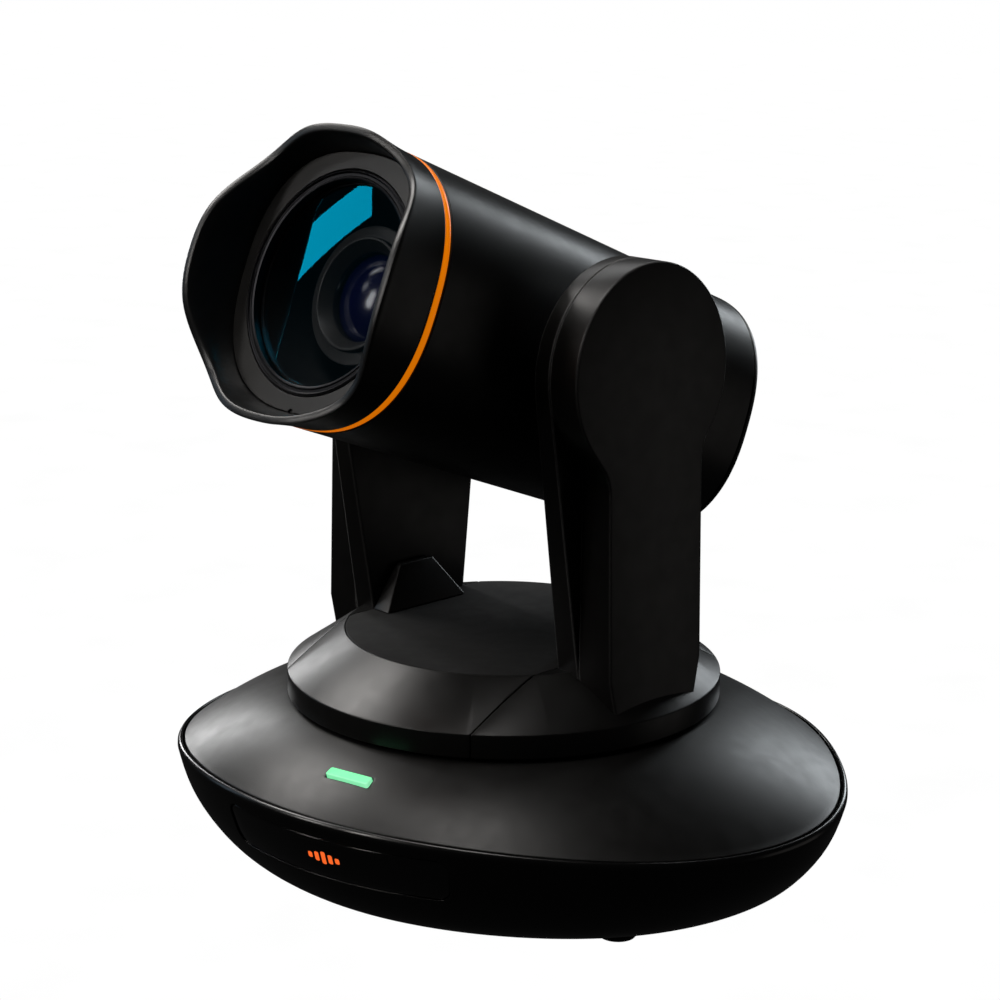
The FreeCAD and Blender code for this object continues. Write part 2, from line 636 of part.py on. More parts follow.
def squircle_point(angle, half_width, half_height, power=2.45):
    """Point of a rounded square, in (X, Z)."""
    c, s = math.cos(angle), math.sin(angle)
    return (math.copysign(abs(c) ** (2 / power), c) * half_width,
            math.copysign(abs(s) ** (2 / power), s) * half_height)


def squircle(half_width, half_height, count=24):
    """Rounded-square section about the barrel axis, in (X, Z)."""
    points = []
    for i in range(count):
        x, z = squircle_point(2 * math.pi * i / count, half_width, half_height)
        points.append((x, z - dim("barrelDrop")))
    return smooth_loop(points)


def squircle_loft(body, kind, sections):
    """Loft through (distance ahead of the tilt axis, half width, half height)."""
    sketches = [sketch_on(body, "XZ", ahead, squircle(width, height)) for ahead, width, height in sections]
    return loft(body, kind, sketches)


def head_section(inset, front, rear):
    width, height = dim("headWidth") - inset, dim("headHeight") - inset
    tail_width, tail_height = dim("tailWidth") - inset, dim("tailHeight") - inset
    return [(rear, tail_width, tail_height), (0, (width + tail_width) / 2, (height + tail_height) / 2),
            (front, width, height)]


def make_barrel():
    front, rear, wall = dim("accentAt") - 0.4, -dim("tailAt"), dim("headWall")
    body = new_body("barrel_blank")
    squircle_loft(body, "Additive", head_section(0, front, rear))
    squircle_loft(body, "Subtractive", head_section(wall, front + 1, rear - 1))
    holes = cylinder(14.4, 120, (-60, 0, 0), ALONG_X)
    piece(cut(body, holes), "barrel_shell", HEAD)

    ring = new_body("accent_blank")
    at, width = dim("accentAt"), dim("accentWidth")
    outer = squircle(dim("headWidth") - 0.05, dim("headHeight") - 0.05)
    pad(ring, sketch_on(ring, "XZ", "accentAt", outer), "accentWidth")
    inner = squircle(dim("headWidth") - wall, dim("headHeight") - wall)
    pocket(ring, sketch_on(ring, "XZ", at + width, inner), "accentWidth")
    piece(ring, "accent_ring", HEAD)

    cap = new_body("rear_cap")
    squircle_loft(cap, "Additive", [(rear - 0.5, dim("tailWidth"), dim("tailHeight")),
                                    (rear - 3.2, dim("tailWidth") - 1.3, dim("tailHeight") - 1.3),
                                    (-dim("tailEnd"), dim("tailWidth") - 5.5, dim("tailHeight") - 5.5)])
    piece(cap, "rear_cap", HEAD)


def rim_ahead(angle):
    """How far ahead of the tilt axis the hood's rim lies, at an angle round the barrel axis."""
    sides, top, corner = dim("hoodSides"), dim("hoodTop"), dim("hoodCorner")
    middle = (sides + top) / 2
    return ((middle + corner) / 2 + (sides - top) / 2 * math.cos(2 * angle)
            + (middle - corner) / 2 * math.cos(4 * angle)
            - dim("rimFlat") * math.cos(8 * angle) - dim("rimTilt") * math.sin(angle))


def rim_space(half_width, half_height, count=32):
    """Everything ahead of the hood's wavy rim: a ruled ring pushed forward."""
    edges = []
    for scale in (0.6, 1.2):
        points = []
        for i in range(count):
            x, z = squircle_point(2 * math.pi * i / count, half_width * scale, half_height * scale)
            points.append(V(x, -rim_ahead(math.atan2(z, x)), z - dim("barrelDrop")))
        curve = Part.BSplineCurve()
        curve.interpolate(points, PeriodicFlag=True)
        edges.append(curve.toShape())
    space = doc.addObject("Part::Feature", "rim_space")
    space.Shape = Part.makeRuledSurface(edges[0], edges[1]).extrude(V(0, -30, 0))
    return space


def make_hood():
    """Flared hood; its rim is longest at the sides and scooped back at the four corners."""
    start = dim("accentAt") + dim("accentWidth") + 0.4
    width, height, lip = dim("rimWidth"), dim("rimHeight"), dim("rimLip")
    body = new_body("hood_blank")
    squircle_loft(body, "Additive", [(start, dim("headWidth"), dim("headHeight")),
                                     (88, dim("headWidth") + 0.4, dim("headHeight") + 0.5),
                                     (100, width, height)])
    squircle_loft(body, "Subtractive", [(start - 1, 39.6, 40.6), (82, 39.8, 40.9),
                                        (101, width - lip + 0.2, height - lip + 0.2)])
    piece(cut(body, rim_space(width, height)), "hood", HEAD)

    plate = new_body("bezel_plate")
    face_at = dim("lensAt") - 0.3
    pad(plate, sketch_on(plate, "XZ", face_at - 2, squircle(39.4, 40.4)), 2)
    hole = Part.Circle(V(0, -dim("barrelDrop"), 0), V(0, 0, 1), dim("bezelRadius") + 0.1)
    pocket(plate, sketch_on(plate, "XZ", face_at, [hole]), 2)
    piece(plate, "bezel_plate", HEAD)


def make_lens():
    lip_step = cut(lying_rod("bezelRadius + 1", "lensAt + 1", 1.5),
                   lying_rod("bezelRadius - 1.4", "lensAt + 1", 1.5))
    bezel = cut(lying_rod("bezelRadius", "lensAt", 3), lying_rod("glassRadius + 0.3", "lensAt + 1", 5), lip_step)
    piece(bezel, "lens_bezel_ring", HEAD)
    dome = doc.addObject("Part::Sphere", "dome")
    bind(dome, Radius=260)
    place(dome, (0, "260.9 - lensAt", "-barrelDrop"))
    piece(common(lying_rod("glassRadius", "lensAt + 2", 5.5), dome), "front_glass", HEAD)

    front_tube = lying_tube(34.8, 31.4, 77.4, 29.4)
    back_wall = lying_tube(34.8, 22.02, 48, 3)
    rear_tube = lying_tube(26, 22.02, 46, 62)
    piece(fuse(front_tube, back_wall, rear_tube), "lens_barrel", HEAD)
    cell_front = 66
    cell_body = fuse(lying_rod(21.97, cell_front, cell_front - 28), lying_rod(18, cell_front + 2.4, 4))
    cell = cut(cell_body, lying_rod(14.05, cell_front + 3, cell_front))
    piece(cell, "zoom_group", HEAD)
    ball = doc.addObject("Part::Sphere", "ball")
    bind(ball, Radius=26)
    place(ball, (0, 26 - cell_front, "-barrelDrop"))
    piece(common(lying_rod(14, cell_front, 9), ball), "zoom_element", HEAD)
    focus_cell = cut(lying_rod(21.97, 4, 10), lying_rod(12, 5, 3), lying_rod(9, 5, 12))
    piece(focus_cell, "focus_group", HEAD)
    ring = lying_tube(30, 26.05, 24, 16)
    grooves = [lying_tube(31, 29.3, at, 1.2) for at in (22.5, 19.5, 16.5, 13.5)]
    piece(cut(ring, *grooves), "zoom_ring", HEAD)


def make_chassis():
    front = new_body("front_flange")
    pad(front, sketch_on(front, "XZ", 28, squircle(38, 40)), 3)
    rear = new_body("rear_flange")
    pad(rear, sketch_on(rear, "XZ", -31, squircle(37, 39.4)), 3)
    cheeks = [box(3, 60, 32, (x, 0, -17)) for x in (-33.5, 33.5)]
    solid = fuse(front, rear, *cheeks)
    piece(cut(solid, lying_rod(26.1, 40, 15), lying_rod(20, -20, 20)), "head_chassis", HEAD)
    right = fuse(cylinder(14, 13.4, (35.05, 0, 0), ALONG_X), cylinder(5.95, 12, (48.4, 0, 0), ALONG_X))
    piece(fuse(right, mirrored(right)), "trunnions", HEAD)
    wheel = gear("tilt_teeth", "YZ", TILT_TEETH, TILT_MODULE, -90 + dim("tiltRest"), 57.5, 2.4, 5.97)
    hub = tube(8, 5.97, 3.3, (54.25, 0, 0), ALONG_X)
    piece(fuse(wheel, hub), "tilt_gear", HEAD)


def make_electronics():
    board = box(40, 1.6, 36, (0, 24, "-19.7"))
    sensor = box(16, 1.4, 12, (0, 22.6, "-7.7"))
    piece(fuse(board, sensor), "sensor_board", HEAD)
    core = box(46, 3, 40, (0, 36, "-21.7"))
    fins = [box(1.6, 18, 40, (x, 46, "-21.7")) for x in range(-21, 22, 6)]
    piece(fuse(core, *fins), "heat_sink", HEAD)


# ---------------------------------------------------------------- build, check and write

for build in (make_dish, make_window, make_cover, make_feet, make_base_plate, make_base_screws,
              make_pan_drive, make_rear_panel, make_connectors, make_main_board, make_turntable, make_ring,
              make_arm_covers, make_cable_covers, make_yoke_frame, make_tilt_drive, make_barrel, make_hood,
              make_lens, make_chassis, make_electronics):
    build()
doc.recompute()

broken = ["%s: %s" % (obj.Name, obj.getStatusString()) for obj in doc.Objects
          if "Invalid" in obj.State or "Error" in obj.State]
if broken:
    raise RuntimeError("did not recompute: " + "; ".join(broken))

for part in pieces:
    shape = part.Shape
    if shape.isNull() or not shape.isValid() or not shape.Solids:
        raise RuntimeError("%s has no valid solid" % part.Label)
    shape.exportStep("parts/%s.step" % part.Label)
    bounds = shape.BoundBox
    print("%-20s %2d solid  %9.0f mm3  x %6.1f %6.1f  y %6.1f %6.1f  z %6.1f %6.1f" % (
        part.Label, len(shape.Solids), shape.Volume, bounds.XMin, bounds.XMax, bounds.YMin, bounds.YMax,
        bounds.ZMin, bounds.ZMax))
print(len(pieces), "pieces")
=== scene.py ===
"""Looks of a pan-tilt-zoom camera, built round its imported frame.

Pieces are made in millimetres in one of three frames, each with its heights as in the drawing:
BASE and TURRET measure z up from the floor, HEAD measures y backwards along the barrel from the tilt axis.
"""

import json
import math

import bmesh
import bpy
import numpy as np
from mathutils import Matrix, Vector


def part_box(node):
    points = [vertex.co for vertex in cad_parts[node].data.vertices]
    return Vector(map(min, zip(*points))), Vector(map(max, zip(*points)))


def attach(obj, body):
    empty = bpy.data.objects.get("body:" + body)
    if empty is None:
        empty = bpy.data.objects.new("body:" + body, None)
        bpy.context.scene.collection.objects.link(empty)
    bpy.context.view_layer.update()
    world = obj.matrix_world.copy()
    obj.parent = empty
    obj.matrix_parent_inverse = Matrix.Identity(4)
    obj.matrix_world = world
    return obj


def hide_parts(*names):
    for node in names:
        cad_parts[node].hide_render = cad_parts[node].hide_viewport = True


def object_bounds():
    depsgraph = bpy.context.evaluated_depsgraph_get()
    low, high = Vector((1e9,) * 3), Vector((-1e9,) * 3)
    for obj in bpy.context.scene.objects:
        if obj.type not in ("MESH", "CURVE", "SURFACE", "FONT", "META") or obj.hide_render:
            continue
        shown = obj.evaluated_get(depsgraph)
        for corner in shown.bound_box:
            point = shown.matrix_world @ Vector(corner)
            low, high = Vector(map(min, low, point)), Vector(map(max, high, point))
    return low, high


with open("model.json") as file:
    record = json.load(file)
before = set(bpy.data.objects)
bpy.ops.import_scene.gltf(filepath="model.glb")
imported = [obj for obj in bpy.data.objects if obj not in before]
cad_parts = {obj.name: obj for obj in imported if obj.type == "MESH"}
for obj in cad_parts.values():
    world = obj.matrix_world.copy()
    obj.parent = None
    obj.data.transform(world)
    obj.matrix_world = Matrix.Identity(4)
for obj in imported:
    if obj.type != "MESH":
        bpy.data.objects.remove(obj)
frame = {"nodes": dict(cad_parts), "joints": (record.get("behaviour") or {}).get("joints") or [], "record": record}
cad_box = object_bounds()

# ---------------------------------------------------------------- frames and sizes, in millimetres

MM = 0.001
JOINTS = {joint["name"]: joint for joint in frame["joints"]}
SIDEWAYS = -Vector(JOINTS["tilt"]["axis"])
BARREL_AXIS = Vector(JOINTS["zoom_turn"]["axis"])
TILT_POINT = Vector(JOINTS["tilt"]["pos_m"])
FLOOR = Vector((0, 0, cad_box[0].z))


def axes(x, y, origin):
    """Frame with its first two axes along x and y, from millimetres to metres."""
    turn = Matrix((x, y, x.cross(y))).transposed().to_4x4()
    return Matrix.Translation(origin) @ turn @ Matrix.Scale(MM, 4)


UP, BACKWARD = Vector((0, 0, 1)), Vector((0, 1, 0))
BASE = axes(Vector((1, 0, 0)), Vector((0, 1, 0)), FLOOR)
TURRET = axes(SIDEWAYS, UP.cross(SIDEWAYS), FLOOR)
HEAD = axes(SIDEWAYS, -BARREL_AXIS, TILT_POINT)

# base
HALF_WIDTH, FRONT, REAR = 116.6, 98.1, 88.4
SHOULDER, FLANK, WIDEST, HIP, HEEL = (71.7, 75), (101.7, 45.5), 9.8, (98.9, 52.9), (63.2, 83.5)
BOTTOM_Z, RIM_Z, RIM_DROP, WALL, BEAD = 3.0, 41.8, 7.9, 3.0, 1.6
WINDOW_TOP, WINDOW_LOW, WINDOW_Z, MARKS_Z = 42.8, 40.6, (21.6, 35.7), 29.0
TALLY_SIZE, TALLY_AT, TALLY_SLOPE = (16, 3.5), (0, -83.9, 51.5), 20.0
FOOT_SPOTS = [(-69, -37), (69, -37), (-58, 52), (58, 52)]
SCREW_SPOTS = [(-52, -36), (52, -36), (-52, 36), (52, 36), (0, 38), (0, -38)]
BRACKET_SPOTS = [(-35, -30), (35, -30), (-35, 30), (35, 30)]
# turret
RING_RADIUS, RING_Z, RING_SKIRT, DISC_RADIUS, DISC_Z, SEAM_X = 72.0, 66.0, 7.6, 53.0, 79.0, 43.6
CROWN_Z = RING_Z - RING_SKIRT - 1.2
AXIS_Z, ARM_RADIUS, ARM_FRONT, ARM_REAR = 173.8, 34.0, 19.3, 22.8
ARM_INNER, ARM_SPLIT, ARM_OUTER, ARM_DRAFT, NECK_ANGLE = 43.5, 52.5, 66.2, 1.5, 38.0
# head
DROP, POWER = 1.7, 2.45
TAIL, NOSE = (38.2, 42.3), (43.0, 44.1)
TAIL_AT, ACCENT_AT, ACCENT_WIDTH, SHELL = -81.2, 74.9, 2.0, 2.2
RIM, RIM_POWER, RIM_LIP, RIM_REACH = (45.3, 46.8), 2.3, 2.6, 97.0
HOOD_FOOT, BEZEL_HALF, SECTION_POINTS = ACCENT_AT + ACCENT_WIDTH + 0.35, (39.6, 40.6), 144
LENS_AT, BEZEL_RADIUS, GLASS_RADIUS, CELL_FRONT = 81.1, 35.2, 31.6, 66
ON_AXIS = (0, 0, -DROP)

# ---------------------------------------------------------------- outlines


def smooth_curve(points, per_span, closed=False):
    """Cubic curve with no break in its curvature through the points."""
    knots = np.array(points + points[:1] if closed else points, float)
    steps = np.linalg.norm(np.diff(knots, axis=0), axis=1)
    chords = np.diff(knots, axis=0) / steps[:, None]
    spans = len(steps)
    size = spans if closed else spans + 1
    left, right = np.zeros((size, size)), np.zeros((size, knots.shape[1]))
    for i in range(size):
        if not closed and i in (0, spans):
            span = min(i, spans - 1)
            left[i, i], left[i, abs(i - 1)] = 2, 1
            right[i] = 3 * chords[span]
            continue
        before, after = steps[i - 1], steps[i % spans]
        left[i, i - 1] += after
        left[i, i] += 2 * (before + after)
        left[i, (i + 1) % size] += before
        right[i] = 3 * (after * chords[i - 1] + before * chords[i % spans])
    slopes = np.linalg.solve(left, right)
    curve = []
    for i in range(spans):
        for k in range(per_span):
            t = k / per_span
            start, end = knots[i], knots[i + 1]
            leave, arrive = slopes[i] * steps[i], slopes[(i + 1) % size] * steps[i]
            curve.append(start * (1 + 2 * t) * (1 - t) ** 2 + leave * t * (1 - t) ** 2
                         + end * t * t * (3 - 2 * t) + arrive * t * t * (t - 1))
    if not closed:
        curve.append(knots[-1])
    return [tuple(float(c) for c in point) for point in curve]


def rounded_outline(corners, per_corner=12):
    """Closed outline through corners (a, b, radius), each rounded by an arc of the same number of points."""
    outline = []
    for i, (a, b, radius) in enumerate(corners):
        here = Vector((a, b))
        back = (Vector(corners[i - 1][:2]) - here).normalized()
        ahead = (Vector(corners[(i + 1) % len(corners)][:2]) - here).normalized()
        half = back.angle(ahead) / 2
        if radius == 0:
            outline.append(tuple(here))
            continue
        centre = here + (back + ahead).normalized() * radius / math.sin(half)
        start = here + back * radius / math.tan(half) - centre
        end = here + ahead * radius / math.tan(half) - centre
        sweep = start.angle_signed(end)
        for k in range(per_corner + 1):
            spoke = Matrix.Rotation(-sweep * k / per_corner, 2) @ start
            outline.append(tuple(centre + spoke))
    return outline


def squircle_point(angle, half_width, half_height, power):
    """Point (x, z) of a rounded square about the barrel axis."""
    c, s = math.cos(angle), math.sin(angle)
    reach = (abs(c / half_width) ** power + abs(s / half_height) ** power) ** (-1 / power)
    return reach * c, reach * s


def squircle(half_width, half_height, power=POWER):
    """Rounded square about the barrel axis, evenly spread in angle."""
    angles = [2 * math.pi * i / SECTION_POINTS for i in range(SECTION_POINTS)]
    return [squircle_point(angle, half_width, half_height, power) for angle in angles]


def seam_outline():
    """Base outline where the two housings meet."""
    right = [(HALF_WIDTH, WIDEST), HIP, HEEL]
    front = [(SHOULDER[0], -SHOULDER[1]), (FLANK[0], -FLANK[1])]
    mirror = [(-x, y) for x, y in reversed(right)]
    points = right + [(0, REAR)] + mirror + [(-x, y) for x, y in reversed(front)] + [(0, -FRONT)] + front
    return smooth_curve(points, 14, closed=True)


def grown(outline, out):
    """The outline moved out along its spokes."""
    return [(x * (1 + out / math.hypot(x, y)), y * (1 + out / math.hypot(x, y))) for x, y in outline]


SEAM = seam_outline()


def seam_z(x):
    """Height of the seam, which sags towards the sides of the base."""
    return RIM_Z - RIM_DROP * (x / HALF_WIDTH) ** 2


# ---------------------------------------------------------------- meshes


def loft(rings, ring_shaped=False):
    """Solid through rings of equal length: capped at both ends, or closed back on its first ring."""
    count = len(rings[0])
    points = [point for ring in rings for point in ring]
    faces = []
    last = len(rings) if ring_shaped else len(rings) - 1
    for i in range(last):
        low, high = i * count, (i + 1) % len(rings) * count
        for k in range(count):
            after = (k + 1) % count
            faces.append((low + k, low + after, high + after, high + k))
    if not ring_shaped:
        faces.append(tuple(range(count))[::-1])
        faces.append(tuple(range((len(rings) - 1) * count, len(rings) * count)))
    return points, faces


def revolve(profile, count=144, along=UP, at=(0, 0, 0)):
    """Ring with a closed profile of (radius, height) about an axis."""
    rings = []
    for radius, height in profile:
        ring = []
        for i in range(count):
            angle = 2 * math.pi * i / count
            spot = Vector((radius * math.cos(angle), radius * math.sin(angle), height))
            ring.append(Vector(at) + UP.rotation_difference(Vector(along)) @ spot)
        rings.append(ring)
    return loft(rings, ring_shaped=True)


def disc(profile, count=96, along=UP, at=(0, 0, 0)):
    """Round solid through (radius, height), capped at both ends."""
    points, faces = revolve(profile, count, along, at)
    faces = faces[: (len(profile) - 1) * count]
    faces.append(tuple(range(count))[::-1])
    faces.append(tuple(range((len(profile) - 1) * count, len(profile) * count)))
    return points, faces


def arc_profile(profile, radii, steps=5):
    """Profile whose corners are rounded by the given radii."""
    corners = [(a, b, radius) for (a, b), radius in zip(profile, radii)]
    return rounded_outline(corners, steps)


def block(low, high):
    """Box between two corners, for cutting."""
    spots = [(x, y, z) for z in (low[2], high[2]) for x, y in
             ((low[0], low[1]), (high[0], low[1]), (high[0], high[1]), (low[0], high[1]))]
    return spots, [(3, 2, 1, 0), (4, 5, 6, 7), (0, 1, 5, 4), (1, 2, 6, 5), (2, 3, 7, 6), (3, 0, 4, 7)]


def mesh_object(name, points, faces, place):
    mesh = bpy.data.meshes.new(name)
    mesh.from_pydata([place @ Vector(point) for point in points], [], faces)
    build = bmesh.new()
    build.from_mesh(mesh)
    bmesh.ops.remove_doubles(build, verts=build.verts, dist=1e-7)
    bmesh.ops.recalc_face_normals(build, faces=build.faces)
    build.to_mesh(mesh)
    build.free()
    made = bpy.data.objects.new(name, mesh)
    bpy.context.scene.collection.objects.link(made)
    return made


def apply_modifiers(made):
    graph = bpy.context.evaluated_depsgraph_get()
    mesh = bpy.data.meshes.new_from_object(made.evaluated_get(graph))
    made.modifiers.clear()
    made.data = mesh


def carve(made, tools, place, operation="DIFFERENCE"):
    """Cuts (points, faces) solids out of an object, or keeps what it shares with one."""
    for points, faces in tools:
        tool = mesh_object("tool", points, faces, place)
        change = made.modifiers.new("carve", "BOOLEAN")
        change.operation, change.solver, change.object = operation, "EXACT", tool
        apply_modifiers(made)
        bpy.data.objects.remove(tool)


def halve(made, place, plane_point, plane_normal):
    """Keeps the side of a plane that its normal points away from, and closes the cut."""
    build = bmesh.new()
    build.from_mesh(made.data)
    normal = place.to_3x3().normalized() @ Vector(plane_normal)
    geometry = build.verts[:] + build.edges[:] + build.faces[:]
    cut = bmesh.ops.bisect_plane(build, geom=geometry, plane_co=place @ Vector(plane_point), plane_no=normal,
                                 clear_outer=True, dist=1e-7)
    rim = [item for item in cut["geom_cut"] if isinstance(item, bmesh.types.BMEdge)]
    bmesh.ops.holes_fill(build, edges=rim)
    bmesh.ops.recalc_face_normals(build, faces=build.faces)
    build.to_mesh(made.data)
    build.free()


def soften(made, width=0.0, angle=28):
    """Rounds the edges by a width in millimetres, and breaks the smooth shading only at what stays sharp."""
    if width:
        bevel = made.modifiers.new("bevel", "BEVEL")
        bevel.width, bevel.segments = width * MM, 3
        bevel.limit_method, bevel.angle_limit = "ANGLE", math.radians(angle)
        bevel.use_clamp_overlap = False
        bevel.miter_outer = "MITER_ARC"
        apply_modifiers(made)
    build = bmesh.new()
    build.from_mesh(made.data)
    for face in build.faces:
        face.smooth = True
    for edge in build.edges:
        edge.smooth = len(edge.link_faces) == 2 and edge.calc_face_angle(0) < math.radians(angle + 7)
    build.to_mesh(made.data)
    build.free()


def finish_piece(made, body, material, slot, *nodes, width=0.0, angle=28):
    """Last step of each piece: edges, material, the body it rides on and the nodes it stands for."""
    soften(made, width, angle)
    made.data.materials.clear()
    made.data.materials.append(material)
    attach(made, body)
    if nodes:
        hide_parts(*nodes)
    return made


# ---------------------------------------------------------------- materials


class Shader:
    """Short way to write a material's node tree."""

    def __init__(self, name):
        self.material = bpy.data.materials.new(name)
        self.material.use_nodes = True
        self.tree = self.material.node_tree
        self.surface = self.tree.nodes["Principled BSDF"]
        self.place = self.add("ShaderNodeTexCoord").outputs["Object"]

    def add(self, kind, settings=None, **inputs):
        node = self.tree.nodes.new(kind)
        for key, value in (settings or {}).items():
            setattr(node, key, value)
        for key, value in inputs.items():
            self.feed(node.inputs[key.replace("_", " ")], value)
        return node

    def feed(self, socket, value):
        if isinstance(value, bpy.types.NodeSocket):
            self.tree.links.new(value, socket)
        else:
            socket.default_value = value

    def noise(self, size, detail=2.0, place=None):
        """Grey noise whose grains are about this many millimetres."""
        place = self.place if place is None else place
        node = self.add("ShaderNodeTexNoise", Vector=place, Scale=1 / (size * MM), Detail=detail)
        return node.outputs["Fac"]

    def span(self, value, low, high, start=0.0, end=1.0):
        return self.add("ShaderNodeMapRange", Value=value, From_Min=start, From_Max=end,
                        To_Min=low, To_Max=high).outputs["Result"]

    def math(self, operation, first, second):
        node = self.add("ShaderNodeMath", {"operation": operation, "use_clamp": True})
        for socket, value in zip(node.inputs, (first, second)):
            self.feed(socket, value)
        return node.outputs["Value"]

    def mix(self, share, first, second):
        node = self.tree.nodes.new("ShaderNodeMix")
        node.data_type = "RGBA"
        self.feed(node.inputs[0], share)
        self.feed(node.inputs[6], first)
        self.feed(node.inputs[7], second)
        return node.outputs[2]

    def bump(self, height, depth, normal=None):
        node = self.add("ShaderNodeBump", Height=height, Strength=1.0, Distance=depth * MM)
        if normal is not None:
            self.feed(node.inputs["Normal"], normal)
        return node.outputs["Normal"]

    def edge(self, radius):
        """Share of the edge, used for edge wear and painted edge highlight, and a normal rounded over the radius.
        """
        rounded = self.add("ShaderNodeBevel", {"samples": 4}, Radius=radius * MM).outputs["Normal"]
        flat = self.add("ShaderNodeNewGeometry").outputs["Normal"]
        same = self.add("ShaderNodeVectorMath", {"operation": "DOT_PRODUCT"})
        self.feed(same.inputs[0], rounded)
        self.feed(same.inputs[1], flat)
        return self.span(same.outputs["Value"], 1.0, 0.0, 0.72, 1.0), rounded

    def end(self, closure):
        """Ends the tree in a closure instead of the plain surface."""
        self.feed(self.tree.nodes["Material Output"].inputs["Surface"], closure)
        self.tree.nodes.remove(self.surface)
        return self.material

    def set(self, **inputs):
        for key, value in inputs.items():
            self.feed(self.surface.inputs[key.replace("_", " ")], value)
        return self.material


def grey(level):
    return (level, level, level, 1)


def shade(colour, factor, lift=0.0):
    """Colour made lighter or darker by a factor, with a little grey added."""
    return tuple(min(1.0, c * factor + lift) for c in colour[:3]) + (1,)


def plastic(name, colour, rough, grain=0.32, depth=0.012, edge_wear_and_highlight=0.35, edge_radius=0.25, coat=0.0,
            pale=0.012):
    """Moulded plastic: spark-eroded grain, faint mottling, and paler edges, which are rubbed wear and, where the
    lift is high, a painted edge highlight.
    """
    shader = Shader(name)
    worn_and_highlit_edge, rounded = shader.edge(edge_radius)
    level = max(colour[:3])
    base = shader.mix(shader.noise(17, 4.0), shade(colour, 0.86), shade(colour, 1.14))
    # Paler edge colour: rubbed wear; a high pale lift with a full share, as on the arms and hood, paints a
    # highlight along the edges.
    rubbed_and_highlit = shade(colour, 2.0, pale + 0.05 * level)
    share = shader.math("MULTIPLY", worn_and_highlit_edge, edge_wear_and_highlight)
    roughness = shader.span(shader.noise(6, 5.0), rough * 0.92, rough * 1.09, 0.3, 0.7)
    return shader.set(Base_Color=shader.mix(share, base, rubbed_and_highlit), Roughness=roughness,
                      Normal=shader.bump(shader.noise(grain, 1.0), depth, rounded),
                      Coat_Weight=coat, Coat_Roughness=0.12)


def metal(name, colour, rough, streak=(1, 1, 1)):
    """Metal with fine turning or brushing marks stretched along one direction."""
    shader = Shader(name)
    stretched = shader.add("ShaderNodeMapping", Vector=shader.place, Scale=streak).outputs["Vector"]
    lines = shader.noise(0.25, 3.0, stretched)
    _, rounded = shader.edge(0.15)
    pale = tuple(min(1.0, c * 1.15) for c in colour[:3]) + (1,)
    return shader.set(Base_Color=shader.mix(shader.noise(9, 3.0), colour, pale), Metallic=1.0,
                      Roughness=shader.span(lines, rough * 0.8, rough * 1.25),
                      Normal=shader.bump(lines, 0.004, rounded))


def circuit_board(name):
    """Green solder mask over square-routed copper."""
    shader = Shader(name)
    tracks = shader.add("ShaderNodeTexVoronoi", {"distance": "MANHATTAN"}, Vector=shader.place, Scale=330.0)
    share = shader.span(tracks.outputs["Distance"], 0.0, 1.0, 0.35, 0.5)
    green = shader.mix(share, (0.004, 0.06, 0.02, 1), (0.012, 0.13, 0.045, 1))
    return shader.set(Base_Color=green, Roughness=0.35, Normal=shader.bump(share, 0.02))


def glow(name, core, edge_colour, strength):
    """Glowing surface: pale core, deeper colour where the surface turns away. On the tally and status bars it is a
    lit light guide; on the accent band, which is no lamp, it is painted glow.
    """
    shader = Shader(name)
    facing = shader.add("ShaderNodeLayerWeight", Blend=0.35).outputs["Facing"]
    cloud = shader.span(shader.noise(2.2, 2.0), 0.0, 0.25)
    colour = shader.mix(shader.math("ADD", facing, cloud), core, edge_colour)
    return shader.set(Base_Color=edge_colour, Emission_Color=colour, Emission_Strength=strength,
                      Roughness=0.3)


def coated_glass(name, tint, reflect, least):
    """Window glass with an interference coating on its outer faces: a coloured mirror over a clear body."""
    shader = Shader(name)
    haze = shader.span(shader.noise(4, 4.0), 0.008, 0.02)
    mirror = shader.add("ShaderNodeBsdfGlossy", Color=reflect, Roughness=haze).outputs[0]
    through = shader.add("ShaderNodeBsdfTransparent", Color=tint).outputs[0]
    fresnel = shader.add("ShaderNodeFresnel", IOR=1.5).outputs[0]
    coating = shader.math("ADD", fresnel, least)
    inner = shader.add("ShaderNodeNewGeometry").outputs["Backfacing"]
    both = shader.add("ShaderNodeMixShader")
    share = shader.math("MULTIPLY", coating, shader.math("SUBTRACT", 1.0, inner))
    for socket, value in zip(both.inputs, (share, through, mirror)):
        shader.feed(socket, value)
    return shader.end(both.outputs[0])


SATIN = plastic("satin_shell", (0.0055, 0.0052, 0.0050), 0.34)
BARREL = plastic("barrel_shell", (0.0035, 0.0035, 0.0035), 0.36)
COVER = plastic("cover_shell", (0.007, 0.0068, 0.0066), 0.37, grain=0.4)
GLOSS = plastic("dish_shell", (0.0022, 0.0022, 0.0023), 0.25, grain=0.5, depth=0.004, coat=0.2)
MATTE = plastic("matte_disc", (0.0012, 0.0012, 0.0012), 0.78)
# Arms: full edge share and a high pale lift paint thin highlight lines along the edges, standing in for light
# caught there.
ARM = plastic("arm_shell", (0.004, 0.0036, 0.0033), 0.34, edge_wear_and_highlight=1.0, edge_radius=0.9, pale=0.4)
# Hood: full edge share and a raised pale lift paint a highlight on the lip edges, on top of wear.
HOOD = plastic("hood_shell", (0.006, 0.006, 0.0063), 0.33, grain=0.3, edge_wear_and_highlight=1.0, edge_radius=0.6, pale=0.1)
BEZEL = plastic("bezel_face", (0.010, 0.0095, 0.009), 0.38)
WINDOW = plastic("window", (0.001, 0.001, 0.0012), 0.1, grain=2.0, depth=0.001, edge_wear_and_highlight=0.2, coat=1.0)
RUBBER = plastic("rubber", (0.012, 0.012, 0.012), 0.8, grain=0.6, depth=0.03)
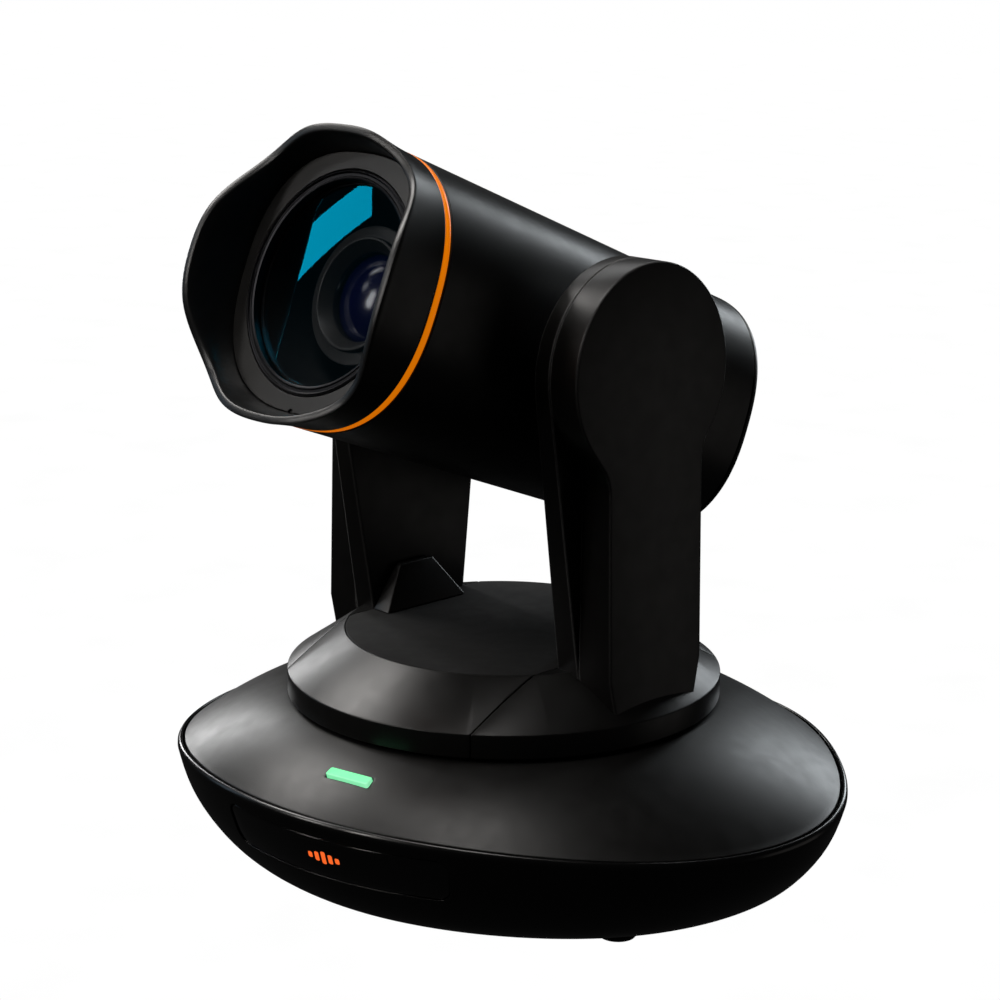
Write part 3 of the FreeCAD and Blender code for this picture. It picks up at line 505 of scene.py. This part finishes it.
# The accent band is orange plastic, not a lamp: its emission is painted glow, and its deeper colour where it turns
# away is painted shade.
ORANGE = glow("accent_band", (1.0, 0.25, 0.0, 1), (1.0, 0.2, 0.0, 1), 0.6)
DEEP_BLACK = plastic("deep_black", (0.0008, 0.0008, 0.0009), 0.7)
CELL_GREY = plastic("cell_grey", (0.028, 0.026, 0.025), 0.36, grain=0.3, edge_wear_and_highlight=0.0)
STEEL = metal("steel", (0.55, 0.55, 0.56, 1), 0.35, (1, 12, 12))
ALUMINIUM = metal("aluminium", (0.66, 0.67, 0.68, 1), 0.38, (1, 1, 14))
NICKEL = metal("nickel", (0.62, 0.6, 0.56, 1), 0.2)
BRASS = metal("brass", (0.72, 0.5, 0.2, 1), 0.25)
BLACK_METAL = metal("black_anodised", (0.02, 0.02, 0.022, 1), 0.3, (1, 1, 6))
ACETAL = plastic("acetal", (0.7, 0.69, 0.65), 0.4)
BOARD = circuit_board("circuit_board")
MOTOR = plastic("motor_paint", (0.03, 0.03, 0.032), 0.3)
TALLY = glow("tally_glow", (0.42, 0.95, 0.6, 1), (0.03, 0.55, 0.18, 1), 1.0)
MARKS = glow("display_glow", (1.0, 0.16, 0.03, 1), (0.8, 0.1, 0.01, 1), 1.0)
GLASS = coated_glass("front_glass", (0.92, 0.93, 0.94, 1), (0.0, 0.5, 0.8, 1), 0.15)
DEEP_GLASS = plastic("deep_glass", (0.003, 0.003, 0.05), 0.2, edge_wear_and_highlight=0.0, depth=0.0, coat=1.0)

SLOT_FINISH = {
    "shell_satin": SATIN, "shell_gloss": GLOSS, "shell_matte": MATTE, "accent_orange": ORANGE,
    "window_black": WINDOW, "tally_green": TALLY, "rubber": RUBBER, "steel": STEEL, "aluminium": ALUMINIUM,
    "nickel": NICKEL, "brass": BRASS, "acetal": ACETAL, "board": BOARD, "motor": MOTOR,
    "black_anodised": BLACK_METAL, "glass": GLASS, "glass_deep": DEEP_GLASS}


def dress_cad_nodes():
    """Gives each node of the frame the finish its material slot names."""
    slots = {part["node"]: part["material_slot"] for part in frame["record"]["subparts"]}
    for name, node in frame["nodes"].items():
        node.data.materials.clear()
        node.data.materials.append(SLOT_FINISH[slots[name]])


# ---------------------------------------------------------------- base


def sagging(outline, z):
    """Level ring whose height is scaled to follow the seam."""
    full = RIM_Z - BOTTOM_Z
    return [(x, y, BOTTOM_Z + (z - BOTTOM_Z) * (seam_z(x) - BOTTOM_Z) / full) for x, y in outline]


def dish_rings(inset):
    """Rings up the lower housing from its floor to the bead under the seam."""
    levels = [(-22.8, BOTTOM_Z), (-14.1, BOTTOM_Z + 5), (-7.2, BOTTOM_Z + 13), (-2.0, BOTTOM_Z + 23),
              (BEAD, RIM_Z - 2.5)]
    profile = smooth_curve(levels, 6)
    return [sagging(grown(SEAM, out - inset), z) for out, z in profile]


def seam_ring(out, rise):
    """Ring round the seam, moved out and up from it."""
    return [(x, y, seam_z(x) + rise) for x, y in grown(SEAM, out)]


def window_tool(growth):
    low, high = WINDOW_Z
    corners = [(-WINDOW_LOW - growth, low - growth, 5), (-WINDOW_TOP - growth, high + growth, 3.5),
               (WINDOW_TOP + growth, high + growth, 3.5), (WINDOW_LOW + growth, low - growth, 5)]
    outline = rounded_outline(corners)
    return loft([[(x, y, z) for x, z in outline] for y in (-120, -60)])


def make_dish():
    outside = dish_rings(0)
    lip_steps = [(BEAD - 0.05, -1.2), (BEAD - 0.55, -0.35), (0.55, 0), (0, -0.1), (-0.15, -0.6), (-0.15, -3)]
    lip = [seam_ring(out, rise) for out, rise in lip_steps]
    inside = dish_rings(WALL)[-2:1:-1]
    floor = [[(x * 0.985, y * 0.985, BOTTOM_Z + 2.4) for x, y, _ in outside[0]]]
    dish = mesh_object("lower_housing", *loft(outside + lip + inside + floor), BASE)
    panel_low, panel_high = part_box("rear_panel")
    low, high = BASE.inverted() @ panel_low, BASE.inverted() @ panel_high
    rear_opening = block((low.x - 0.3, low.y - 5, low.z - 0.2), (high.x + 0.3, 120, high.z + 0.2))
    tripod_opening = disc([(9.2, 1), (9.2, 8)], 64)
    tools = [window_tool(0.25), rear_opening, tripod_opening]
    tools += [disc([(5.2, 1), (5.2, 8)], 48, at=(x, y, 0)) for x, y in BRACKET_SPOTS]
    tools += [disc([(2.9, 1), (2.9, 4.6)], 32, at=(x, y, 0)) for x, y in SCREW_SPOTS]
    tools += [disc([(7.1, 1), (7.1, 6)], 48, at=(x, y, 0)) for x, y in FOOT_SPOTS]
    carve(dish, tools, BASE)
    finish_piece(dish, "base", GLOSS, "shell_gloss", "dish_shell", width=0.25, angle=40)


def make_window():
    slab = mesh_object("status_window", *loft(dish_rings(0.35)), BASE)
    carve(slab, [window_tool(0)], BASE, "INTERSECT")
    carve(slab, [loft(dish_rings(2.0))], BASE)
    finish_piece(slab, "base", WINDOW, "window_black", "display_window", width=0.3, angle=40)


def make_display_marks():
    """Plain status bars glowing behind the window's surface."""
    heights, pitch, half_width = [2.0, 3.2, 4.4, 3.2, 2.0], 2.6, 0.8
    points, faces = [], []
    for i, height in enumerate(heights):
        x = (i - 2) * pitch
        left, right, low, high = x - half_width, x + half_width, MARKS_Z - height / 2, MARKS_Z + height / 2
        corners = [(left, low, 0.5), (left, high, 0.5), (right, high, 0.5), (right, low, 0.5)]
        outline = rounded_outline(corners, 5)
        bar, sides = loft([[(a, y, b) for a, b in outline] for y in (-102, -90)])
        faces += [tuple(len(points) + k for k in face) for face in sides]
        points += bar
    marks = mesh_object("status_bars", points, faces, BASE)
    carve(marks, [loft(dish_rings(0.3))], BASE, "INTERSECT")
    carve(marks, [loft(dish_rings(0.8))], BASE)
    finish_piece(marks, "base", MARKS, "accent_orange")


def cover_rings(edge, out, sink):
    """Rings from the seam up to a circle under the turret ring, rising in a slight crown."""
    rings, steps, crown = [], 24, 0.42
    for i in range(steps + 1):
        share = i / steps
        up = share + crown * share * (1 - share)
        ring = []
        for x, y in SEAM:
            reach = math.hypot(x, y)
            wanted = (reach + out) * (1 - share) + edge * share
            height = seam_z(x) + (CROWN_Z - seam_z(x)) * up - sink
            ring.append((x * wanted / reach, y * wanted / reach, height))
        rings.append(ring)
    return rings


def make_cover():
    edge = RING_RADIUS - 1
    outside = [seam_ring(-0.95, -2), seam_ring(-0.95, -0.3)] + cover_rings(edge, -1.3, 0)
    inside = cover_rings(edge - 2.6, -3.6, 2.6)
    hub_radius = 18
    hub = [[(x * hub_radius / math.hypot(x, y), y * hub_radius / math.hypot(x, y), z) for x, y in SEAM]
           for z in (CROWN_Z, CROWN_Z - 2.6)]
    cover = mesh_object("upper_housing", *loft(outside + hub + inside[::-1], ring_shaped=True), BASE)
    carve(cover, [tally_solid(0.25, -6, 6)], BASE)
    finish_piece(cover, "base", COVER, "shell_satin", "top_cover", width=0.2, angle=35)


def tally_solid(growth, low, high, inset=0.0):
    """Light bar square to the front slope, with heights from the slope's surface."""
    half_x, half_y = TALLY_SIZE[0] / 2 + growth, TALLY_SIZE[1] / 2 + growth
    corners = [(-half_x, -half_y, 0.7), (-half_x, half_y, 0.7), (half_x, half_y, 0.7), (half_x, -half_y, 0.7)]
    turn = Matrix.Rotation(math.radians(TALLY_SLOPE), 3, "X")
    rings = []
    for height, shrink in ((low, 0), (high - inset, 0), (high, inset)):
        across, along = 1 - shrink / half_x, 1 - shrink / half_y
        outline = [(x * across, y * along) for x, y in rounded_outline(corners, 5)]
        rings.append([Vector(TALLY_AT) + turn @ Vector((x, y, height)) for x, y in outline])
    return loft(rings)


def make_tally():
    tally = mesh_object("tally_lens", *tally_solid(0, -2.2, 0.55, 0.3), BASE)
    finish_piece(tally, "base", TALLY, "tally_green", "tally_light")


# ---------------------------------------------------------------- turret


def make_ring_pieces():
    """Sloping ring in four pieces with a level disc in the middle, parted by two straight seams."""
    skirt_z, top, cover = RING_Z - RING_SKIRT, DISC_Z, 2.1
    corners = [(RING_RADIUS, skirt_z), (RING_RADIUS, RING_Z), (DISC_RADIUS, top),
               (DISC_RADIUS - 5, top - cover), (RING_RADIUS - cover, RING_Z - 1.6),
               (RING_RADIUS - cover, skirt_z)]
    profile = arc_profile(corners, [0.3, 0.7, 0.3, 0, 0, 0.3])
    gap = 0.16
    for name, sign in (("ring_front", -1), ("ring_rear", 1)):
        part = mesh_object(name + "_shell", *revolve(profile, 240), TURRET)
        halve(part, TURRET, (SEAM_X - gap, 0, 0), (1, 0, 0))
        halve(part, TURRET, (gap - SEAM_X, 0, 0), (-1, 0, 0))
        halve(part, TURRET, (0, 0, 0), (0, -sign, 0))
        finish_piece(part, "turret", SATIN, "shell_satin", name, width=0.18, angle=40)
    side_corners = corners[:3] + [(40, top), (40, top - cover)] + corners[4:]
    side_profile = arc_profile(side_corners, [0.3, 0.7, 0.3, 0, 0, 0, 0.3])
    for name, sign in (("ring_side_right", 1), ("ring_side_left", -1)):
        part = mesh_object(name + "_shell", *revolve(side_profile, 240), TURRET)
        halve(part, TURRET, (sign * (SEAM_X + gap), 0, 0), (-sign, 0, 0))
        finish_piece(part, "turret", SATIN, "shell_satin", name, width=0.18, angle=40)
    rim = DISC_RADIUS - 0.35
    plate_profile = [(rim, top - cover), (rim, top - 0.25), (DISC_RADIUS - 0.6, top)]
    plate = mesh_object("disc_plate", *disc(plate_profile, 240), TURRET)
    for sign in (1, -1):
        halve(plate, TURRET, (sign * (SEAM_X - gap), 0, 0), (sign, 0, 0))
    finish_piece(plate, "turret", MATTE, "shell_matte", "disc_cover", width=0.12, angle=40)


def arm_outline(inset, lean_front, lean_rear, foot, neck):
    """Arm outline as (y, z): round top, then a stem that drops from a neck or leans down to the foot."""
    radius = ARM_RADIUS - inset
    sides = []
    for side, half, lean in ((-1, ARM_FRONT - inset, lean_front), (1, ARM_REAR - inset, lean_rear)):
        angle = math.radians(lean)
        run = [(side * radius, AXIS_Z - radius * math.tan(angle / 2), radius)]
        if neck:
            neck_z = AXIS_Z + (half * math.cos(angle) - radius) / math.sin(angle)
            run += [(side * half, neck_z, neck), (side * half, DISC_Z + 0.5, 0)]
            run.append((side * (half - 3.5), foot, 0))
        else:
            run.append((side * (radius / math.cos(angle) - (AXIS_Z - foot) * math.tan(angle)), foot, 0))
        sides.append(run)
    top = [(radius, AXIS_Z + radius, radius), (-radius, AXIS_Z + radius, radius)]
    return rounded_outline(sides[0][::-1] + top[::-1] + sides[1], 24)


def stem_lean(half_width):
    """Angle of the edge from the stem's foot that just touches the round top."""
    drop = AXIS_Z - DISC_Z
    return math.degrees(math.asin(ARM_RADIUS / math.hypot(drop, half_width)) - math.atan2(half_width, drop))


def arm_rings(side, layers, lean_front, lean_rear, foot, neck):
    """Rings across an arm: each layer is (distance from the middle at the disc, draft angle, inset)."""
    rings = []
    for x, draft, inset in layers:
        outline = arm_outline(inset, lean_front, lean_rear, foot, neck)
        slope = math.tan(math.radians(draft))
        rings.append([(side * (x + (z - DISC_Z) * slope), y, z) for y, z in outline])
    return rings


def make_arms():
    edge = 0.55
    rounding = [(edge * (1 - math.sin(math.radians(turn))), edge * (1 - math.cos(math.radians(turn))))
                for turn in (0, 22, 45, 68, 90)]
    front, rear = stem_lean(ARM_FRONT), stem_lean(ARM_REAR)
    for name, side in (("right", 1), ("left", -1)):
        outer_layers = [(ARM_SPLIT, 0, 0.3), (ARM_SPLIT + 0.3, 0, 0)]
        outer_layers += [(ARM_OUTER - back, -ARM_DRAFT, inset) for back, inset in rounding]
        rings = arm_rings(side, outer_layers, NECK_ANGLE, NECK_ANGLE, 64, 14)
        outer = mesh_object("arm_face_" + name, *loft(rings), TURRET)
        finish_piece(outer, "turret", ARM, "shell_satin", "arm_outer_" + name, angle=35)
        inner_layers = [(ARM_INNER + back, ARM_DRAFT, inset) for back, inset in reversed(rounding)]
        inner_layers += [(ARM_SPLIT - 0.4, 0, 0), (ARM_SPLIT - 0.1, 0, 0.3)]
        rings = arm_rings(side, inner_layers, front, rear, 70, 0)
        inner = mesh_object("arm_liner_" + name, *loft(rings), TURRET)
        finish_piece(inner, "turret", ARM, "shell_satin", "arm_inner_" + name, angle=35)


def make_cable_covers():
    """Bevelled wedges leaning on the arms over the cable passages; the right one reaches less far ahead."""
    wall, foot, top_edge, height = ARM_INNER - 0.25, 35.2, 40.7, 14.5
    for name, side, reach in (("left", -1, 20), ("right", 1, 9)):
        low = [(wall, -reach), (foot, -reach), (foot, 16), (wall, 16)]
        high = [(wall, 10.5 - reach), (top_edge, 10.5 - reach), (top_edge, 5.5), (wall, 5.5)]
        rings = [[(side * x, y, DISC_Z + rise) for x, y in outline]
                 for outline, rise in ((low, 0.1), (high, height))]
        wedge = mesh_object("cable_hump_" + name, *loft(rings), TURRET)
        finish_piece(wedge, "turret", SATIN, "shell_satin", "cable_cover_" + name, width=0.7, angle=30)


# ---------------------------------------------------------------- head


def section(ahead, half_width, half_height, power=POWER):
    """Ring about the barrel axis at a distance ahead of the tilt axis."""
    return [(x, -ahead, z - DROP) for x, z in squircle(half_width, half_height, power)]


def bezel_section(ahead, gap=0.0):
    """Ring of the opening that the bezel fills, or of the bezel with a gap round it."""
    return section(ahead, BEZEL_HALF[0] - gap, BEZEL_HALF[1] - gap)


def barrel_half(ahead, inset=0.0):
    """Half width and height of the tapering barrel."""
    share = (ahead - TAIL_AT) / (ACCENT_AT - TAIL_AT)
    return [tail + (nose - tail) * share - inset for tail, nose in zip(TAIL, NOSE)]


def make_barrel():
    front, rear, edge = ACCENT_AT - 0.35, TAIL_AT, 0.35
    rings = [section(rear, *barrel_half(rear, edge)), section(rear + edge, *barrel_half(rear + edge))]
    rings += [section(at, *barrel_half(at)) for at in np.linspace(rear + 4, front - 4, 20)]
    rings += [section(front - edge, *barrel_half(front)), section(front, *barrel_half(front, edge))]
    rings += [section(at, *barrel_half(at, SHELL)) for at in (front, 0, rear)]
    shell = mesh_object("barrel_cover", *loft(rings, ring_shaped=True), HEAD)
    sideways = Vector((1, 0, 0))
    carve(shell, [disc([(14.4, -60), (14.4, 60)], 96, along=sideways)], HEAD)
    finish_piece(shell, "head", BARREL, "shell_satin", "barrel_shell", angle=32)


def make_accent():
    """Thin coloured band between barrel and hood, slightly crowned."""
    rings = []
    for along, inset in ((0, 1.2), (0, 0.35), (0.3, 0.05), (1.0, 0.0), (1.7, 0.05), (2.0, 0.35), (2.0, 1.2)):
        rings.append(section(ACCENT_AT + along, NOSE[0] - inset, NOSE[1] - inset))
    rings += [section(ACCENT_AT + along, NOSE[0] - SHELL, NOSE[1] - SHELL) for along in (2.0, 0)]
    band = mesh_object("accent_band", *loft(rings, ring_shaped=True), HEAD)
    finish_piece(band, "head", ORANGE, "accent_orange", "accent_ring", angle=45)


def make_rear_cap():
    joint, edge = TAIL_AT - 0.5, 5.5
    rings = [section(joint, TAIL[0] - 0.35, TAIL[1] - 0.35), section(joint - 0.3, TAIL[0], TAIL[1])]
    for step in range(1, 9):
        turn = math.radians(step * 90 / 8)
        inset = edge * (1 - math.cos(turn))
        rings.append(section(joint - 0.3 - 4.2 * math.sin(turn), TAIL[0] - inset, TAIL[1] - inset))
    cap = mesh_object("tail_cap", *loft(rings), HEAD)
    finish_piece(cap, "head", BARREL, "shell_satin", "rear_cap", angle=32)


def rim_ahead(angle):
    """How far ahead of the tilt axis the hood's rim lies, at an angle round the barrel axis."""
    return (93.4 + 3.3 * math.cos(2 * angle) + 3.0 * math.cos(4 * angle) - 0.5 * math.sin(angle)
            - 0.7 * math.cos(8 * angle))


def hood_ring(share, back, inset):
    """Ring a share of the way from the accent band to the rim, moved back and inwards."""
    ring = []
    for i in range(SECTION_POINTS):
        angle = 2 * math.pi * i / SECTION_POINTS
        ahead = HOOD_FOOT + (rim_ahead(angle) - back - HOOD_FOOT) * share
        flare = min(1.0, max(0.0, (ahead - HOOD_FOOT) / (RIM_REACH - HOOD_FOOT))) ** 1.6
        half = [nose + (rim - nose) * flare - inset for nose, rim in zip(NOSE, RIM)]
        x, z = squircle_point(angle, *half, POWER + (RIM_POWER - POWER) * flare)
        ring.append((x, -ahead, z - DROP))
    return ring


def make_hood():
    """Flared hood with a waving rim, a flat lip and a smooth inner flare down to the bezel."""
    rings = [hood_ring(0, 0, 0.35), hood_ring(0.02, 0, 0)]
    rings += [hood_ring(share, 0, 0) for share in np.linspace(0.08, 0.92, 12)]
    rings += [hood_ring(1, 0.45, 0), hood_ring(1, 0.13, 0.13), hood_ring(1, 0, 0.45)]
    rings += [hood_ring(1, 0, RIM_LIP - 0.5), hood_ring(1, 0.15, RIM_LIP - 0.15), hood_ring(1, 0.5, RIM_LIP)]
    rim = [Vector(point) for point in rings[-1]]
    foot = [Vector(point) for point in bezel_section(LENS_AT - 0.4)]
    for share in np.linspace(0.08, 1, 14):
        pull = share ** 0.75
        rings.append([Vector((a.x + (b.x - a.x) * pull, a.y + (b.y - a.y) * share, a.z + (b.z - a.z) * pull))
                      for a, b in zip(rim, foot)])
    rings.append(bezel_section(HOOD_FOOT))
    hood = mesh_object("lens_hood", *loft(rings, ring_shaped=True), HEAD)
    finish_piece(hood, "head", HOOD, "shell_satin", "hood", angle=32)


def make_bezel():
    """Flat face round the lens with a small notch at its foot."""
    face = LENS_AT - 0.3
    rings = [bezel_section(face - 2, 0.1), bezel_section(face - 0.3, 0.1), bezel_section(face, 0.4)]
    hole = BEZEL_RADIUS + 0.12
    rings += [section(at, hole, hole, 2.0) for at in (face, face - 2)]
    plate = mesh_object("bezel_face", *loft(rings, ring_shaped=True), HEAD)
    notch = disc([(1.3, -face - 1), (1.3, -face + 0.8)], 32, along=BACKWARD, at=(0, 0, -BEZEL_HALF[1] - DROP))
    carve(plate, [notch], HEAD)
    finish_piece(plate, "head", BEZEL, "shell_matte", "bezel_plate", angle=32)


def lens_turning(name, profile, body, material, slot, *nodes, radii=None):
    """Turned ring on the barrel axis from a closed profile of (radius, distance ahead)."""
    if radii:
        profile = arc_profile(profile, radii, 4)
    solid = revolve([(radius, -ahead) for radius, ahead in profile], along=BACKWARD, at=ON_AXIS)
    turned = mesh_object(name, *solid, HEAD)
    return finish_piece(turned, body, material, slot, *nodes, angle=32)


def domed_front(ball, front, start, edge, steps):
    """Convex lens face as (radius, distance ahead), on a ball of the given radius."""
    return [(radius, front - (ball - math.sqrt(ball ** 2 - radius ** 2)))
            for radius in np.linspace(start, edge, steps)]


def make_lens_bezel():
    face, step = LENS_AT, LENS_AT - 0.5
    profile = [(BEZEL_RADIUS, face - 3), (BEZEL_RADIUS, face - 0.2), (BEZEL_RADIUS - 0.9, face + 0.15),
               (BEZEL_RADIUS - 1.3, step), (BEZEL_RADIUS - 2.2, step), (BEZEL_RADIUS - 2.5, face - 0.1),
               (GLASS_RADIUS + 0.35, face - 0.3), (GLASS_RADIUS + 0.3, face - 3)]
    lens_turning("lens_bezel", profile, "head", BLACK_METAL, "black_anodised", "lens_bezel_ring",
                 radii=[0, 0.2, 0.15, 0.1, 0.1, 0.15, 0.1, 0])


def make_front_glass():
    back, start = LENS_AT - 3.5, 0.6
    curve = domed_front(260.0, LENS_AT - 0.9, start, GLASS_RADIUS - 0.2, 24)
    profile = curve + [(GLASS_RADIUS, curve[-1][1] - 0.3), (GLASS_RADIUS, back), (start, back)]
    solid = disc([(radius, -ahead) for radius, ahead in profile], 144, along=BACKWARD, at=ON_AXIS)
    glass = mesh_object("front_window_glass", *solid, HEAD)
    finish_piece(glass, "head", GLASS, "glass", "front_glass")


def make_lens_tube():
    """Tube that narrows behind the glass to the bore in which the zoom cell slides."""
    bore, wall = 22.05, 34.6
    profile = [(wall, 77.2), (31.4, 77.2), (31.4, 74.0), (30.0, 66), (27.5, 58), (24.0, 50.5), (bore, 50.0),
               (bore, -16), (26, -16), (26, 45), (wall, 45)]
    lens_turning("lens_tube", profile, "head", DEEP_BLACK, "black_anodised", "lens_barrel")


def make_zoom_cell():
    """Cell with a raised, dished rim, and the element that it holds."""
    front = CELL_FRONT
    profile = [(21.9, front), (21.9, 28), (14.1, 28), (14.1, front - 1.6), (17.0, front + 2.2),
               (17.9, front + 2.2), (17.9, front)]
    lens_turning("zoom_cell", profile, "zoom_group", CELL_GREY, "black_anodised", "zoom_group",
                 radii=[0.3, 0, 0, 0.2, 0.3, 0.3, 0.2])
    radius, back, start = 14.0, front - 9, 0.3
    curve = domed_front(26.0, front, start, radius - 0.2, 20)
    profile = curve + [(radius, curve[-1][1] - 0.4), (radius, back), (start, back)]
    solid = disc([(across, -ahead) for across, ahead in profile], 96, along=BACKWARD, at=ON_AXIS)
    element = mesh_object("zoom_lens", *solid, HEAD)
    finish_piece(element, "zoom_group", DEEP_GLASS, "glass_deep", "zoom_element")


# ---------------------------------------------------------------- stage


def make_stage():
    """Pale floor and backdrop, which the object doesn't mirror."""
    floor = mesh_object("floor", *block((-4000, -4000, -20), (4000, 4000, -0.05)), BASE)
    shader = Shader("pale_floor")
    speckle = shader.mix(shader.noise(40, 3.0), grey(0.9), grey(0.96))
    white = shader.add("ShaderNodeEmission", Color=speckle, Strength=1.08).outputs[0]
    floor.data.materials.append(shader.end(white))
    floor.visible_shadow = floor.visible_diffuse = floor.visible_glossy = False

    world = bpy.data.worlds.new("studio")
    bpy.context.scene.world = world
    world.use_nodes = True
    tree = world.node_tree
    background = tree.nodes["Background"]
    path = tree.nodes.new("ShaderNodeLightPath")
    level = tree.nodes.new("ShaderNodeMapRange")
    level.inputs["To Min"].default_value = 0.01
    level.inputs["To Max"].default_value = 1.0
    tree.links.new(path.outputs["Is Camera Ray"], level.inputs["Value"])
    tree.links.new(level.outputs["Result"], background.inputs["Strength"])
    background.inputs["Color"].default_value = (1, 1, 1, 1)


def softbox(name, azimuth, elevation, distance, size, radiance, aim=(0, 0, 0.12), colour=(1, 1, 1), roll=0):
    """Rectangular soft light at an angle round the object, aimed at a point; azimuth 0 is at the front."""
    light = bpy.data.lights.new(name, "AREA")
    light.shape, light.size, light.size_y = "RECTANGLE", size[0], size[1]
    light.energy, light.color = radiance * math.pi * size[0] * size[1], colour
    lamp = bpy.data.objects.new(name, light)
    a, e = math.radians(azimuth), math.radians(elevation)
    out = Vector((math.sin(a) * math.cos(e), -math.cos(a) * math.cos(e), math.sin(e)))
    facing = out.to_track_quat("Z", "Y").to_matrix() @ Matrix.Rotation(math.radians(roll), 3, "Z")
    lamp.matrix_world = Matrix.Translation(Vector(aim) + out * distance) @ facing.to_4x4()
    bpy.context.scene.collection.objects.link(lamp)


def make_lights():
    """Dim lights that the glass mirrors as coloured patches, then the studio's own."""
    lens = HEAD @ Vector((0, -LENS_AT, -DROP))
    softbox("lens_card", -70.5, 24, 0.9, (0.10, 0.25), 2.3, aim=lens, roll=-27)
    softbox("lens_fill", -81, 7, 0.9, (0.2, 0.45), 0.6, aim=lens, colour=(0.6, 0.8, 1.0))
    softbox("left_strip", -112, 10, 1.0, (0.12, 0.5), 9)
    softbox("left_high", -84, 43, 1.0, (0.35, 0.35), 9, colour=(1.0, 0.97, 0.94))
    softbox("left_front", -42, 24, 0.9, (0.12, 0.25), 9, colour=(1.0, 0.97, 0.94))
    softbox("top", -30, 74, 0.8, (0.5, 0.25), 6, colour=(1.0, 0.97, 0.94))
    softbox("front_strip", -22, 30, 1.0, (0.10, 0.3), 12, colour=(1.0, 0.96, 0.92))
    softbox("right_strip", 176, 14, 1.0, (0.2, 0.6), 5, colour=(0.9, 0.96, 1.0))
    softbox("right_fill", 124, -10, 1.1, (0.6, 0.5), 0.15, colour=(1.0, 0.95, 0.9))
    softbox("back", 215, 45, 1.1, (0.7, 0.2), 3)


def make_camera():
    """Camera at the three-quarter view, a little above the object."""
    camera = bpy.data.cameras.new("camera")
    camera.lens, camera.sensor_width = 86.4, 36
    camera.clip_start, camera.clip_end = 0.05, 50
    holder = bpy.data.objects.new("camera", camera)
    heading, pitch, roll, distance = 34.336, 14.275, 0.565, 0.78
    aim = Vector((0.0024, -0.0067, 0.1207))
    turn = (Matrix.Rotation(math.radians(heading), 4, "Z") @ Matrix.Rotation(math.radians(90 - pitch), 4, "X")
            @ Matrix.Rotation(math.radians(roll), 4, "Z"))
    holder.matrix_world = Matrix.Translation(aim) @ turn @ Matrix.Translation((0, 0, distance))
    bpy.context.scene.collection.objects.link(holder)
    bpy.context.scene.camera = holder


# ---------------------------------------------------------------- build

dress_cad_nodes()
for build in (make_dish, make_window, make_display_marks, make_cover, make_tally, make_ring_pieces, make_arms,
              make_cable_covers, make_barrel, make_accent, make_rear_cap, make_hood, make_bezel,
              make_lens_bezel, make_front_glass, make_lens_tube, make_zoom_cell):
    build()
make_stage()
make_lights()
make_camera()
bpy.context.scene.view_settings.view_transform = "Standard"
